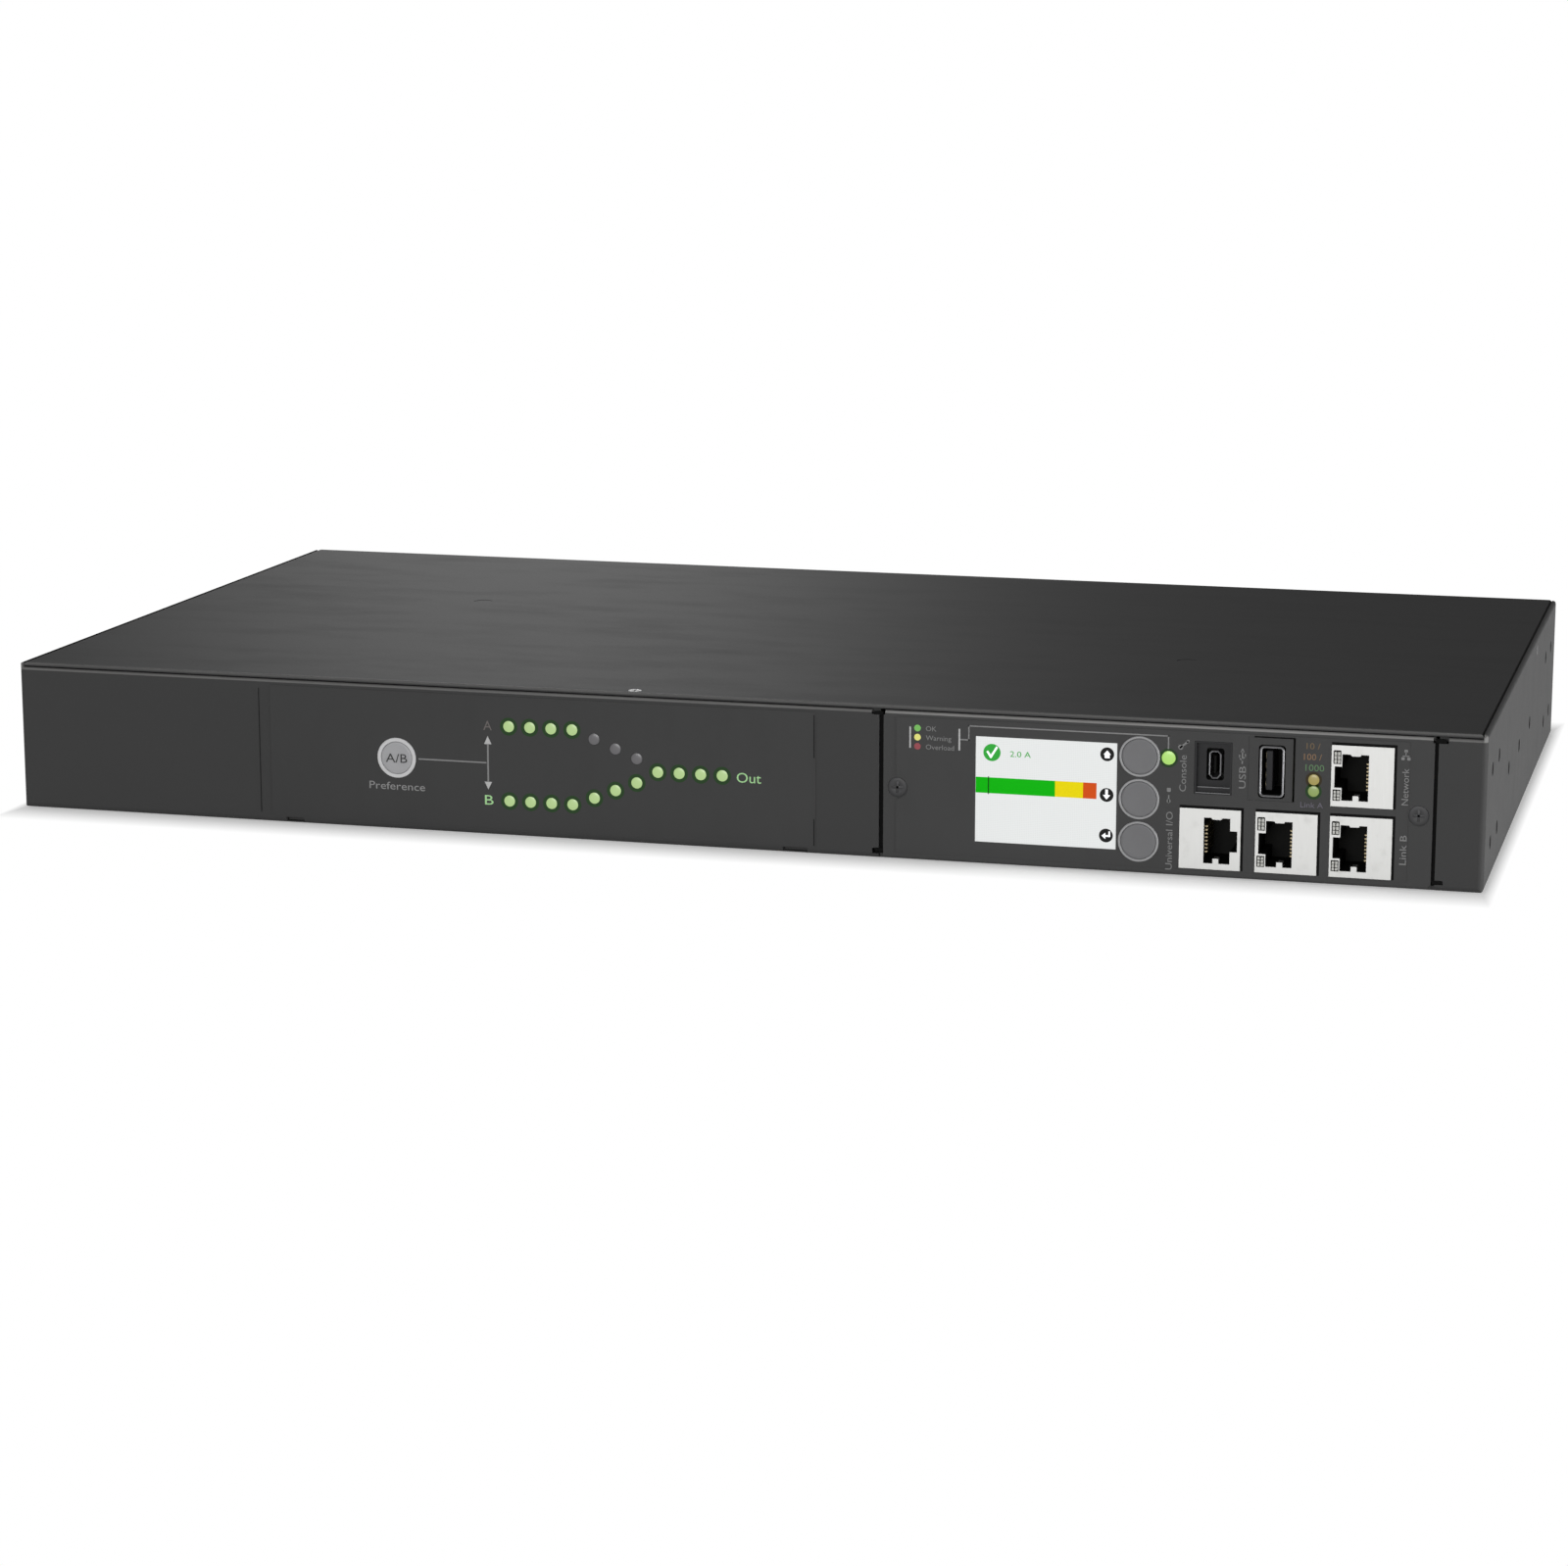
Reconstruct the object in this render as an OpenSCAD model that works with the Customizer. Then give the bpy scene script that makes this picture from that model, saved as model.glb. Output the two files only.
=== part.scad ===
// One-rack-unit automatic transfer switch: a folded steel case, a removable front
// module with a display and network jacks, two rear inlets and nine rear outlets.
//
// Sizes below are in panel coordinates: x from the left edge of the front, y from the
// front face back towards the outlets, z up from the underside. placed() then moves
// everything so that the origin is at the bottom centre of the whole object.

/* [Case] */
// Width of the case across its side walls
case_w = 432; // [430:1:440]
// Depth of the case from front face to rear face
case_d = 236; // [234:1:250]
// Height of the case with its cover on
case_h = 44; // [44:0.1:44.4]
// Thickness of the folded case sheet
sheet = 1.2; // [1:0.1:1.2]
// Thickness of the cover sheet
lid = 1; // [0.8:0.1:1]
// Outside radius of the folded edges
bend_r = 1.6; // [1.4:0.1:1.8]
// Depth of the returned flanges along the top of the front and rear walls
flange_d = 12; // [8:1:14]

/* [Side fixing holes] */
// Radius of the bracket screw holes
side_hole_r = 2; // [1.6:0.1:2.2]
// Spacing along the depth of each four-hole bracket group
group_dy = 20; // [18:0.5:22]
// Spacing up the side of each four-hole bracket group
group_dz = 20.6; // [18:0.1:21]
// Height of each group's centre above the underside
group_z = 21.1; // [20.5:0.1:21.5]
// Distance from the front face to the front group's centre
group_y = 27; // [25:0.5:30]

/* [Front panel] */
// Left end of the front film that carries the power path diagram
film_x0 = 79.9; // [78:0.1:82]
// Right end of the front film
film_x1 = 244.8; // [242:0.1:248]
// Thickness of both front films
film_t = 0.2; // [0.15:0.05:0.3]
// Spacing of the indicator lamps in a row
lamp_pitch = 6.38; // [6.2:0.02:6.5]
// Radius of an indicator lamp
lamp_r = 1.62; // [1.4:0.02:1.7]
// Centre of the source selector button
select_x = 118.96; // [116:0.1:122]
// Outer radius of the source selector ring
select_r = 5.9; // [5.5:0.1:6.2]

/* [Front module] */
// Left edge of the module opening in the case front
gap_x0 = 263.1; // [262.9:0.1:263.2]
// Right edge of the module opening
gap_x1 = 418.85; // [418.8:0.05:419]
// Left edge of the module faceplate
face_x0 = 264.4; // [264.3:0.1:264.6]
// Right edge of the module faceplate
face_x1 = 417.8; // [417.7:0.1:417.9]
// Depth of the module's shelf
shelf_d = 112; // [110:1:116]
// Outer radius of the display button rings
button_r = 5.7; // [5.5:0.1:5.75]
// Spacing of the display buttons up the panel
button_pitch = 12.02; // [11.9:0.02:12.1]
// How far a button can be pressed
button_travel = 0.6; // [0.4:0.1:0.8]
// Side of a network jack's face
jack_s = 17; // [16.9:0.05:17]
// Depth of the network jacks behind the panel
jack_d = 16; // [15:0.5:17]

/* [Rear panel] */
// Centre of the first inlet
inlet_x = 34; // [33:0.5:34.5]
// Distance between the two inlets
inlet_pitch = 40; // [38.5:0.5:40]
// Centre of the large outlet
large_x = 113; // [112:0.5:114]
// Centre of the first small outlet
small_x = 149; // [148.5:0.5:149.5]
// Distance between small outlets
small_pitch = 32.2; // [31.8:0.1:32.3]
// Number of small outlets
small_n = 8; // [4:1:8]
// Travel of a tripped breaker's button
trip_travel = 2.5; // [1:0.5:3]

/* [Hidden] */
eps = 0.01;
wall_top = case_h - lid - 0.5;   // top of the front and rear walls, a shadow gap under the cover
mid_z = case_h / 2;
front_proud = 0.45;              // how far the button caps stand out of the front
rear_proud = 5.2;                // how far the breaker buttons stand out of the rear
board_t = 1.6;
deck = 8;                        // underside of the power and supply boards
screw_z = 20.7;
button_x = 337.15;
button_z = 21.17;
lcd = [290.85, 330.85, 6.45, 36.55];
// Faces of the four jacks: left edge, bottom edge, and 1 where the latch is on the right
JACKS = [[390, 22.2, 0], [390.05, 2.45, 0], [369.65, 2.45, 0], [348.6, 2.45, 1]];
SINGLE_HOLES = [71, 105, 142];   // distances of the single side holes from the front
SMALLS = [for (i = [0 : small_n - 1]) small_x + i * small_pitch];
INLETS = [inlet_x, inlet_x + inlet_pitch];
BREAKERS = [12.5, 31.5];         // heights of the two breakers
breaker_x = 406;
stud_x = 9;
row_x = 153.41;

// Lamps of the power path: source A row, source B row, then the shared output row.
// The last three lamps of each source row step towards the output row.
LAMPS = concat(
  [for (i = [0 : 3]) [row_x + i * lamp_pitch, 32.25]],
  [for (i = [1 : 3]) [row_x + (i + 3) * lamp_pitch + 0.2, 32.4 - 2.52 * i]],
  [for (i = [0 : 3]) [row_x + i * lamp_pitch, 10.35]],
  [for (i = [1 : 3]) [row_x + (i + 3) * lamp_pitch + 0.2, 10.05 + 2.58 * i]],
  [for (i = [0 : 3]) [row_x + (i + 7) * lamp_pitch + 0.1, 21.25]]);

// --- helpers -------------------------------------------------------------------------

// Moves panel coordinates to the object's own frame
module placed() {
  translate([-case_w / 2, (front_proud - rear_proud - case_d) / 2, 0]) children();
}

// Block between two corners, given as ranges
module block(x, y, z) {
  translate([x[0], y[0], z[0]]) cube([x[1] - x[0], y[1] - y[0], z[1] - z[0]]);
}

// Cylinder that runs back from y0
module rod_y(x, z, y0, y1, r, r2 = -1) {
  translate([x, y0, z]) rotate([-90, 0, 0])
    cylinder(h = y1 - y0, r1 = r, r2 = r2 < 0 ? r : r2, $fn = 48);
}

// Cylinder that runs to the right from x0
module rod_x(x0, x1, y, z, r, r2 = -1) {
  translate([x0, y, z]) rotate([0, 90, 0])
    cylinder(h = x1 - x0, r1 = r, r2 = r2 < 0 ? r : r2, $fn = 48);
}

// Upright cylinder
module rod_z(x, y, z0, z1, r, r2 = -1) {
  translate([x, y, z0]) cylinder(h = z1 - z0, r1 = r, r2 = r2 < 0 ? r : r2, $fn = 48);
}

// Rectangle with round corners, its lower left corner at the origin
module round_rect(w, h, r) {
  translate([r, 0]) square([w - 2 * r, h]);
  translate([0, r]) square([w, h - 2 * r]);
  for (x = [r, w - r], y = [r, h - r]) translate([x, y]) circle(r = r, $fn = 32);
}

// Round-cornered block that runs back from y[0]
module plate_y(x, z, y, r) {
  translate([x[0], y[1], z[0]]) rotate([90, 0, 0])
    linear_extrude(y[1] - y[0]) round_rect(x[1] - x[0], z[1] - z[0], r);
}

// Material outside a quarter round, for rounding an edge that runs along x
module edge_cut_x(x, y, z, r, up = 1) {
  difference() {
    block(x, [y - 1, y + r], up > 0 ? [z - r, z + 1] : [z - 1, z + r]);
    rod_x(x[0] - 1, x[1] + 1, y + r, z - up * r, r);
  }
}

// Round wire through a list of points
module wire(points, r) {
  for (i = [0 : len(points) - 2]) hull() {
    translate(points[i]) sphere(r = r, $fn = 16);
    translate(points[i + 1]) sphere(r = r, $fn = 16);
  }
}

// Places children at the four bracket holes of each group on one side
module group_holes() {
  for (yc = [group_y, case_d - group_y], sy = [-1, 1], sz = [-1, 1])
    translate([0, yc + sy * group_dy / 2, group_z + sz * group_dz / 2]) children();
}

// Holes in one side wall: the bracket groups, the single holes and the cover screw
module side_holes(x0, x1) {
  group_holes() rod_x(x0, x1, 0, 0, side_hole_r);
  for (y = SINGLE_HOLES) rod_x(x0, x1, y, mid_z - 1, side_hole_r);
  rod_x(x0, x1, 163, 39.8, 1.6);
}

// --- case ----------------------------------------------------------------------------

// Solid envelope of the case with every folded edge rounded
module case_envelope() {
  intersection() {
    linear_extrude(case_h) round_rect(case_w, case_d, bend_r);
    translate([0, case_d, 0]) rotate([90, 0, 0]) linear_extrude(case_d)
      round_rect(case_w, case_h, bend_r * 0.8);
    rotate([90, 0, 90]) linear_extrude(case_w) round_rect(case_d, case_h, bend_r);
  }
}

module chassis() {
  color("#3a3a3c") placed() difference() {
    union() {
      difference() {
        case_envelope();
        block([sheet, case_w - sheet], [sheet, case_d - sheet], [sheet, case_h + 1]);
        block([sheet, case_w - sheet], [-1, case_d + 1], [wall_top, case_h + 1]);
        edge_cut_x([sheet, case_w - sheet], 0, wall_top, sheet);
      }
      // returned flanges under the cover
      for (x = [[sheet, gap_x0], [gap_x1, case_w - sheet]])
        block(x, [sheet, flange_d], [wall_top - sheet, wall_top]);
      block([sheet, case_w - sheet], [case_d - flange_d, case_d - sheet],
        [wall_top - sheet, wall_top]);
      // tabs behind the module's screws
      block([gap_x0 - 10, gap_x0 + 9], [sheet, 2 * sheet], [12, 30]);
      block([gap_x1 - 9, gap_x1 + 9], [sheet, 2 * sheet], [12, 30]);
    }
    // opening for the front module, with its bend reliefs
    block([gap_x0, gap_x1], [-1, sheet], [-1, case_h]);
    block([gap_x0, gap_x1], [-1, sheet + 0.3], [-1, 2 * sheet]);
    block([gap_x0, gap_x1], [-1, flange_d + 2], [40, case_h]);
    block([gap_x0 - 2.2, gap_x0 + 1], [-1, 2], [41.3, 43]);
    block([gap_x0 - 1.9, gap_x0 + 1], [-1, 2], [1.3, 2.9]);
    block([gap_x1 - 1, gap_x1 + 2.6], [-1, 2], [41, 43]);
    block([gap_x1 - 1, gap_x1 + 2.2], [-1, 2], [1.8, 2.95]);
    // tooling slots under the film's corners
    block([film_x0 + 4.1, film_x0 + 9.7], [-1, 2], [0.6, 1.7]);
    block([film_x1 - 9.8, film_x1 - 2.5], [-1, 2], [0.6, 1.7]);
    // lamps, selector and module screws
    for (p = LAMPS) rod_y(p[0], p[1], -1, 3, lamp_r + 0.08);
    rod_y(select_x, mid_z - 0.7, -1, 3, select_r + 0.02);
    for (x = module_screw_xs()) rod_y(x, screw_z, 0, 4, 1.6);
    side_holes(-1, sheet + 1);
    side_holes(case_w - sheet - 1, case_w + 1);
    // rear openings
    for (x = INLETS) plate_y([x - 15.6, x + 15.6], [mid_z - 12.1, mid_z + 12.1],
      [case_d - 3, case_d + 1], 2);
    plate_y([large_x - 15.6, large_x + 15.6], [mid_z - 12.1, mid_z + 12.1],
      [case_d - 3, case_d + 1], 1.6);
    for (x = SMALLS) plate_y([x - 14.1, x + 14.1], [mid_z - 10.85, mid_z + 10.85],
      [case_d - 3, case_d + 1], 1.6);
    for (z = BREAKERS) rod_y(breaker_x, z, case_d - 3, case_d + 1, 5.5);
    rod_y(stud_x, 12, case_d - 3, case_d + 1, 2);
    for (x = [130, 330]) {
      rod_y(x, 39.3, case_d - 3, case_d + 1, 1.6);
      rod_y(x, 39.3, case_d - 1, case_d + eps, 1.6, 2.6);
    }
    // screw from the cover into the front flange
    rod_z(190.4, 3.6, 38, case_h, 1.3);
  }
}

module cover() {
  g = 0.15;
  x0 = sheet + g;
  x1 = case_w - sheet - g;
  y1 = case_d - sheet - g;
  color("#333335") placed() difference() {
    union() {
      // lid with round side bends
      intersection() {
        block([x0, x1], [0.1, case_d - 0.1], [case_h - lid, case_h]);
        translate([x0, case_d, 0]) rotate([90, 0, 0]) linear_extrude(case_d)
          round_rect(x1 - x0, case_h, lid);
      }
      for (x = [[x0, x0 + lid], [x1 - lid, x1]])
        block(x, [14, case_d - 14], [36.2, case_h - lid]);
    }
    // side screws into the flanges
    rod_x(0, x0 + lid + 1, 163, 39.8, 1.2);
    rod_x(x1 - lid - 1, case_w, 163, 39.8, 1.2);
    // countersink of the front screw
    rod_z(190.4, 3.6, 38, case_h + 1, 1.4);
    rod_z(190.4, 3.6, case_h - 0.7, case_h + eps, 1.4, 2.1);
    // crescent locating marks in the lid
    for (m = [[95.7, 142.5], [334.6, 92.5]]) difference() {
      rod_z(m[0], m[1], case_h - 0.35, case_h + 1, 3);
      rod_z(m[0] + 0.4, m[1] - 0.9, case_h - 1, case_h + 2, 3.1);
    }
  }
}

// Countersunk screw with a cross recess, its head face at z = 0, pointing down
module flush_screw(r, head_r, length) {
  h = head_r - r;
  difference() {
    union() {
      translate([0, 0, -h]) cylinder(h = h, r1 = r, r2 = head_r, $fn = 48);
      translate([0, 0, -length]) cylinder(h = length - h, r = r, $fn = 48);
    }
    for (a = [0, 90]) rotate([0, 0, a])
      translate([-head_r * 0.55, -head_r * 0.13, -h]) cube([head_r * 1.1, head_r * 0.26, h + 1]);
  }
}

module cover_screws() {
  color("#1c1c1e") placed() {
    translate([190.4, 3.6, case_h - 0.02]) flush_screw(1.2, 1.9, 4.5);
    translate([0.03, 163, 39.8]) rotate([0, -90, 0]) flush_screw(1.15, 1.55, 4);
    translate([case_w - 0.03, 163, 39.8]) rotate([0, 90, 0]) flush_screw(1.15, 1.55, 4);
    for (x = [130, 330]) translate([x, case_d - 0.02, 39.3]) rotate([-90, 0, 0])
      flush_screw(1.5, 2.5, 5);
  }
}

// Self-clinching nuts behind the bracket holes
module clinch_nuts() {
  color("#9a9ca0") placed() for (side = [0, 1]) {
    x0 = side == 0 ? sheet : case_w - sheet - 2;
    group_holes() difference() {
      rod_x(x0, x0 + 2, 0, 0, 3.6);
      rod_x(x0 - 1, x0 + 3, 0, 0, side_hole_r);
    }
    for (y = SINGLE_HOLES) difference() {
      rod_x(x0, x0 + 2, y, mid_z - 1, 3.6);
      rod_x(x0 - 1, x0 + 3, y, mid_z - 1, side_hole_r);
    }
  }
}

// --- power stage ---------------------------------------------------------------------

POWER_POSTS = [for (x = [20, 132, 244], y = [36, 148]) [x, y]];
SUPPLY_POSTS = [for (x = [274, 406], y = [126, 184]) [x, y]];
MODULE_POSTS = [for (x = [275, 403], y = [34, 104]) [x, y]];
MIMIC_POSTS = [for (x = [108, 232], z = [8, 35]) [x, z]];

module insulating_sheet() {
  color("#c9c4b4") placed() difference() {
    block([12, 254], [28, 176], [sheet, sheet + 0.4]);
    for (p = POWER_POSTS) rod_z(p[0], p[1], 0, 3, 3.4);
  }
}

module board_standoffs() {
  color("#b8a25e") placed() {
    for (p = concat(POWER_POSTS, SUPPLY_POSTS)) rod_z(p[0], p[1], sheet, deck, 3);
    for (p = MODULE_POSTS) rod_z(p[0], p[1], 2 * sheet, 7, 3);
    for (p = MIMIC_POSTS) rod_y(p[0], p[1], sheet, 8, 2.5);
  }
}

module board_screws() {
  color("#a4a6aa") placed() {
    for (p = concat(POWER_POSTS, SUPPLY_POSTS))
      translate([p[0], p[1], deck + board_t]) pan_head();
    for (p = MODULE_POSTS) translate([p[0], p[1], 7 + board_t]) pan_head();
    for (p = MIMIC_POSTS) translate([p[0], 8 + board_t, p[1]]) rotate([-90, 0, 0]) pan_head();
  }
}

// Pan head of a board screw, seated at z = 0
module pan_head() {
  difference() {
    cylinder(h = 1.9, r1 = 2.8, r2 = 2.4, $fn = 32);
    for (a = [0, 90]) rotate([0, 0, a]) translate([-1.5, -0.35, 0.9]) cube([3, 0.7, 2]);
  }
}

module power_board() {
  color("#2f5a3c") placed() block([14, 250], [30, 172], [deck, deck + board_t]);
}

// Sealed power relays: three for each source
module relays() {
  color("#26282c") placed() for (s = [0, 1], i = [0 : 2])
    translate([24 + 64 * s, 56 + 20 * i, deck + board_t]) relay();
}

module relay() {
  translate([0, 16, 0]) rotate([90, 0, 0]) linear_extrude(16) round_rect(30, 25.5, 1);
  translate([6, 4, 25]) cube([18, 8, 1]);
}

// Ring current sensors on their round bases
module current_sensors() {
  color("#3d4c7a") placed() for (p = [[142, 66], [142, 92], [142, 118]])
    translate([p[0], p[1], deck + board_t]) {
      rotate_extrude($fn = 64) translate([5, 1]) round_rect(6, 10, 1.5);
      difference() {
        cylinder(h = 2, r = 11.5, $fn = 64);
        translate([0, 0, -1]) cylinder(h = 4, r = 5.2, $fn = 64);
      }
    }
}

module film_capacitors() {
  color("#b8872f") placed() for (x = [24, 88, 151, 184])
    translate([x, 47, deck + board_t]) rotate([90, 0, 0]) linear_extrude(9)
      round_rect(26, 18, 0.8);
}

module bulk_capacitors() {
  color("#23304f") placed() {
    for (x = [198, 224], y = [66, 92]) translate([x, y, deck + board_t]) can(10, 24);
    for (x = [330, 394]) translate([x, 150, deck + board_t]) can(7, 22);
  }
}

// Aluminium electrolytic can with a crimped neck and a pressed top
module can(r, h) {
  difference() {
    cylinder(h = h, r = r, $fn = 48);
    translate([0, 0, 2]) rotate_extrude($fn = 48) translate([r, 0]) circle(r = 0.8, $fn = 16);
    translate([0, 0, h - 0.5]) cylinder(h = 1, r = r - 1.2, $fn = 48);
  }
}

// Disc varistors standing on the board
module surge_varistors() {
  color("#2a5fa0") placed() for (x = [62, 78, 126, 142])
    rod_y(x, deck + board_t + 7.5, 39, 43.5, 7.5);
}

module terminal_blocks() {
  color("#2b6b52") placed() {
    for (i = [0, 1]) terminal_block([INLETS[i] - (i == 0 ? 18.5 : 9.5), INLETS[i] + 9.5], 30);
    terminal_block([190, 222], 35);
  }
}

// Block of screw clamps with one screw well over each wire
module terminal_block(x, top) {
  n = floor((x[1] - x[0]) / 8);
  difference() {
    block(x, [156, 168], [deck + board_t, top]);
    for (i = [0 : n - 1])
      rod_z(x[0] + (i + 0.5) * (x[1] - x[0]) / n, 161, top - 4, top + 1, 2.4);
  }
}

module supply_board() {
  color("#2f5a3c") placed() block([268, 412], [120, 190], [deck, deck + board_t]);
}

// Two ferrite transformers with their bobbins
module supply_transformers() {
  color("#3a3632") placed() for (x = [288, 350]) {
    block([x, x + 26], [140, 146], [deck + board_t, 31]);
    block([x, x + 26], [158, 164], [deck + board_t, 31]);
    block([x + 2, x + 24], [146, 158], [deck + board_t + 2, 29]);
  }
}

// Finned heat sinks of the two supplies
module supply_heatsinks() {
  color("#8f9196") placed() for (x = [284, 346]) {
    block([x, x + 34], [172, 174], [deck + board_t, 33]);
    for (i = [0 : 5]) block([x + i * 6.4, x + i * 6.4 + 2], [174, 182], [deck + board_t, 33]);
  }
}

// --- inlets and outlets --------------------------------------------------------------

// Male inlet with a deep pocket around three blades
module inlet(x) {
  color("#1d1d1f") placed() difference() {
    union() {
      plate_y([x - 17.5, x + 17.5], [mid_z - 14, mid_z + 14], [case_d, case_d + 2], 2);
      plate_y([x - 15.5, x + 15.5], [mid_z - 12, mid_z + 12], [208, case_d + 1], 2);
    }
    plate_y([x - 13.5, x + 13.5], [mid_z - 9.5, mid_z + 9.5], [214, case_d + 3], 3);
    for (b = blades(x)) block_about(b, [206, 216]);
  }
}

// Centres of an inlet's blades: live, neutral and the raised earth
function blades(x) = [[x - 6.5, mid_z - 2.5], [x + 6.5, mid_z - 2.5], [x, mid_z + 3]];

// Blade cross-section, 2 by 8, run between two distances from the front
module block_about(c, y) {
  block([c[0] - 1, c[0] + 1], y, [c[1] - 4, c[1] + 4]);
}

module inlet_a() { inlet(INLETS[0]); }
module inlet_b() { inlet(INLETS[1]); }

module inlet_blades() {
  color("#c9cbd0") placed() for (x = INLETS, b = blades(x)) difference() {
    block_about(b, [200, 231]);
    for (s = [-1, 1]) translate([b[0] + s * 1.3, 231, b[1]]) rotate([0, 0, s * 24])
      cube([1, 6, 12], center = true);
  }
}

// Female outlet: a ring pocket around a tongue with three slots
module outlet(x, w, h, bw, bh, tongue, slot) {
  difference() {
    union() {
      plate_y([x - w / 2, x + w / 2], [mid_z - h / 2, mid_z + h / 2],
        [case_d, case_d + 2], 2);
      plate_y([x - bw / 2, x + bw / 2], [mid_z - bh / 2, mid_z + bh / 2],
        [212, case_d + 1], 1.6);
    }
    difference() {
      outlet_outline(x, tongue[0] + 4, tongue[1] + 4, [220, case_d + 3]);
      outlet_outline(x, tongue[0], tongue[1], [219, case_d + 4]);
    }
    for (c = [[x - tongue[2], mid_z - 1.2], [x + tongue[2], mid_z - 1.2], [x, mid_z + 2.2]])
      block([c[0] - slot[0] / 2, c[0] + slot[0] / 2], [222, case_d + 3],
        [c[1] - slot[1] / 2, c[1] + slot[1] / 2]);
  }
}

// Rectangle with its two upper corners cut off, run between two depths
module outlet_outline(x, w, h, y) {
  translate([x, y[1], mid_z]) rotate([90, 0, 0]) linear_extrude(y[1] - y[0])
    polygon([[-w / 2, -h / 2], [w / 2, -h / 2], [w / 2, h / 2 - 3.5], [w / 2 - 3.5, h / 2],
      [3.5 - w / 2, h / 2], [-w / 2, h / 2 - 3.5]]);
}

module large_outlet() {
  color("#1d1d1f") placed() outlet(large_x, 35, 28, 31, 24, [22, 13, 6.5], [2.6, 8]);
}

module small_outlets() {
  color("#1d1d1f") placed() for (x = SMALLS)
    outlet(x, 31, 25.5, 28, 21.5, [20, 12, 7], [2.6, 5.4]);
}

// Solder tabs at the back of every outlet: live, neutral, earth from the bottom up
module outlet_tabs() {
  color("#c2a878") placed() for (x = concat([large_x], SMALLS)) {
    block([x - 7.4, x - 6.6], [203, 212], [12.5, 17]);
    block([x + 6.6, x + 7.4], [203, 212], [19, 25]);
    block([x - 0.4, x + 0.4], [203, 212], [27, 32]);
  }
}

module bus_bars() {
  color("#b5713f") placed() for (z = [12.5, 20, 28])
    block([large_x - 10, SMALLS[small_n - 1] + 10], [202, 203], [z, z + 4]);
}

module breaker_bodies() {
  color("#222224") placed() for (z = BREAKERS) difference() {
    union() {
      block([breaker_x - 7, breaker_x + 7], [208, case_d - sheet], [z - 7, z + 7]);
      rod_y(breaker_x, z, 230, case_d + 3, 5.4);
    }
    rod_y(breaker_x, z, 226, case_d + 4, 3.56);
  }
}

module breaker_nuts() {
  color("#2c2c2e") placed() for (z = BREAKERS) difference() {
    rod_y(breaker_x, z, case_d, case_d + 2.4, 7.4);
    rod_y(breaker_x, z, case_d - 1, case_d + 4, 5.42);
  }
}

// Reset button in its breaker, at rest when the breaker is closed
module breaker_button(z) {
  color("#151516") placed() union() {
    rod_y(breaker_x, z, 229, case_d + 4.4, 3.5);
    rod_y(breaker_x, z, case_d + 4.4, case_d + rear_proud, 3.5, 2.9);
  }
}

module breaker_button_a() { breaker_button(BREAKERS[0]); }
module breaker_button_b() { breaker_button(BREAKERS[1]); }

// Earth stud with a nut on each side of the rear wall
module earth_stud() {
  color("#b9bbc0") placed() {
    rod_y(stud_x, 12, 222, case_d + 5, 1.95);
    for (y = [[case_d, case_d + 3], [case_d - sheet - 3, case_d - sheet]]) difference() {
      translate([stud_x, y[0], 12]) rotate([-90, 0, 0])
        cylinder(h = y[1] - y[0], r = 3.9, $fn = 6);
      rod_y(stud_x, 12, y[0] - 1, y[1] + 1, 1.98);
    }
  }
}

module earth_wire() {
  color("#3f8f3a") placed()
    wire([[stud_x, 220, 12], [stud_x, 204, 12], [19, 186, 19.5], [19, 169.7, 19.5]], 1.5);
}

// Straight conductors from the inlets to the board, and from the board to the bars
module power_wires() {
  color("#5a3a28") placed() {
    for (x = INLETS, b = blades(x)) rod_y(b[0], b[1], 168, 200, 1.6);
    for (i = [0 : 2]) rod_y(196 + 10 * i, [14.5, 22, 30][i], 168, 202, 1.8);
  }
}

// --- front diagram panel -------------------------------------------------------------

module front_overlay() {
  color("#343436") placed() difference() {
    plate_y([film_x0, film_x1], [1.9, 41], [-film_t, 0], 0.6);
    for (p = LAMPS) rod_y(p[0], p[1], -1, 1, lamp_r + 0.08);
    rod_y(select_x, mid_z - 0.7, -1, 1, select_r + 0.02);
  }
}

module mimic_board() {
  color("#2f5a3c") placed() block([104, 236], [8, 8 + board_t], [4, 39]);
}

// Clear light guides from the board's lamps to the panel
module mimic_lenses() {
  color("#8fd64a") placed() for (p = LAMPS) {
    rod_y(p[0], p[1], -film_t, 8, lamp_r);
    rod_y(p[0], p[1], -film_t - 0.15, -film_t, lamp_r - 0.15, lamp_r);
  }
}

// Pale rings round the four front buttons
module button_rings() {
  color("#b9babd") placed() {
    button_ring(select_x, mid_z - 0.7, select_r);
    for (i = [-1 : 1]) button_ring(button_x, button_z + i * button_pitch, button_r);
  }
}

module button_ring(x, z, r) {
  difference() {
    rod_y(x, z, -0.3, sheet, r);
    rod_y(x, z, -1, sheet + 1, r - 0.65);
  }
}

// Button cap with a retaining rim and a stem that enters its switch
module button_cap(x, z, r) {
  placed() {
    rod_y(x, z, -front_proud, -front_proud + 0.2, r - 0.92, r - 0.72);
    rod_y(x, z, -front_proud + 0.2, sheet + 0.05, r - 0.72);
    rod_y(x, z, sheet + 0.05, 2.2, r - 0.4);
    rod_y(x, z, 2.2, 5.6, 1.6);
  }
}

module selector_button() { color("#97989b") button_cap(select_x, mid_z - 0.7, select_r); }
module button_back() { color("#6e6f72") button_cap(button_x, button_z + button_pitch, button_r); }
module button_down() { color("#6e6f72") button_cap(button_x, button_z, button_r); }
module button_enter() { color("#6e6f72") button_cap(button_x, button_z - button_pitch, button_r); }

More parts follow.
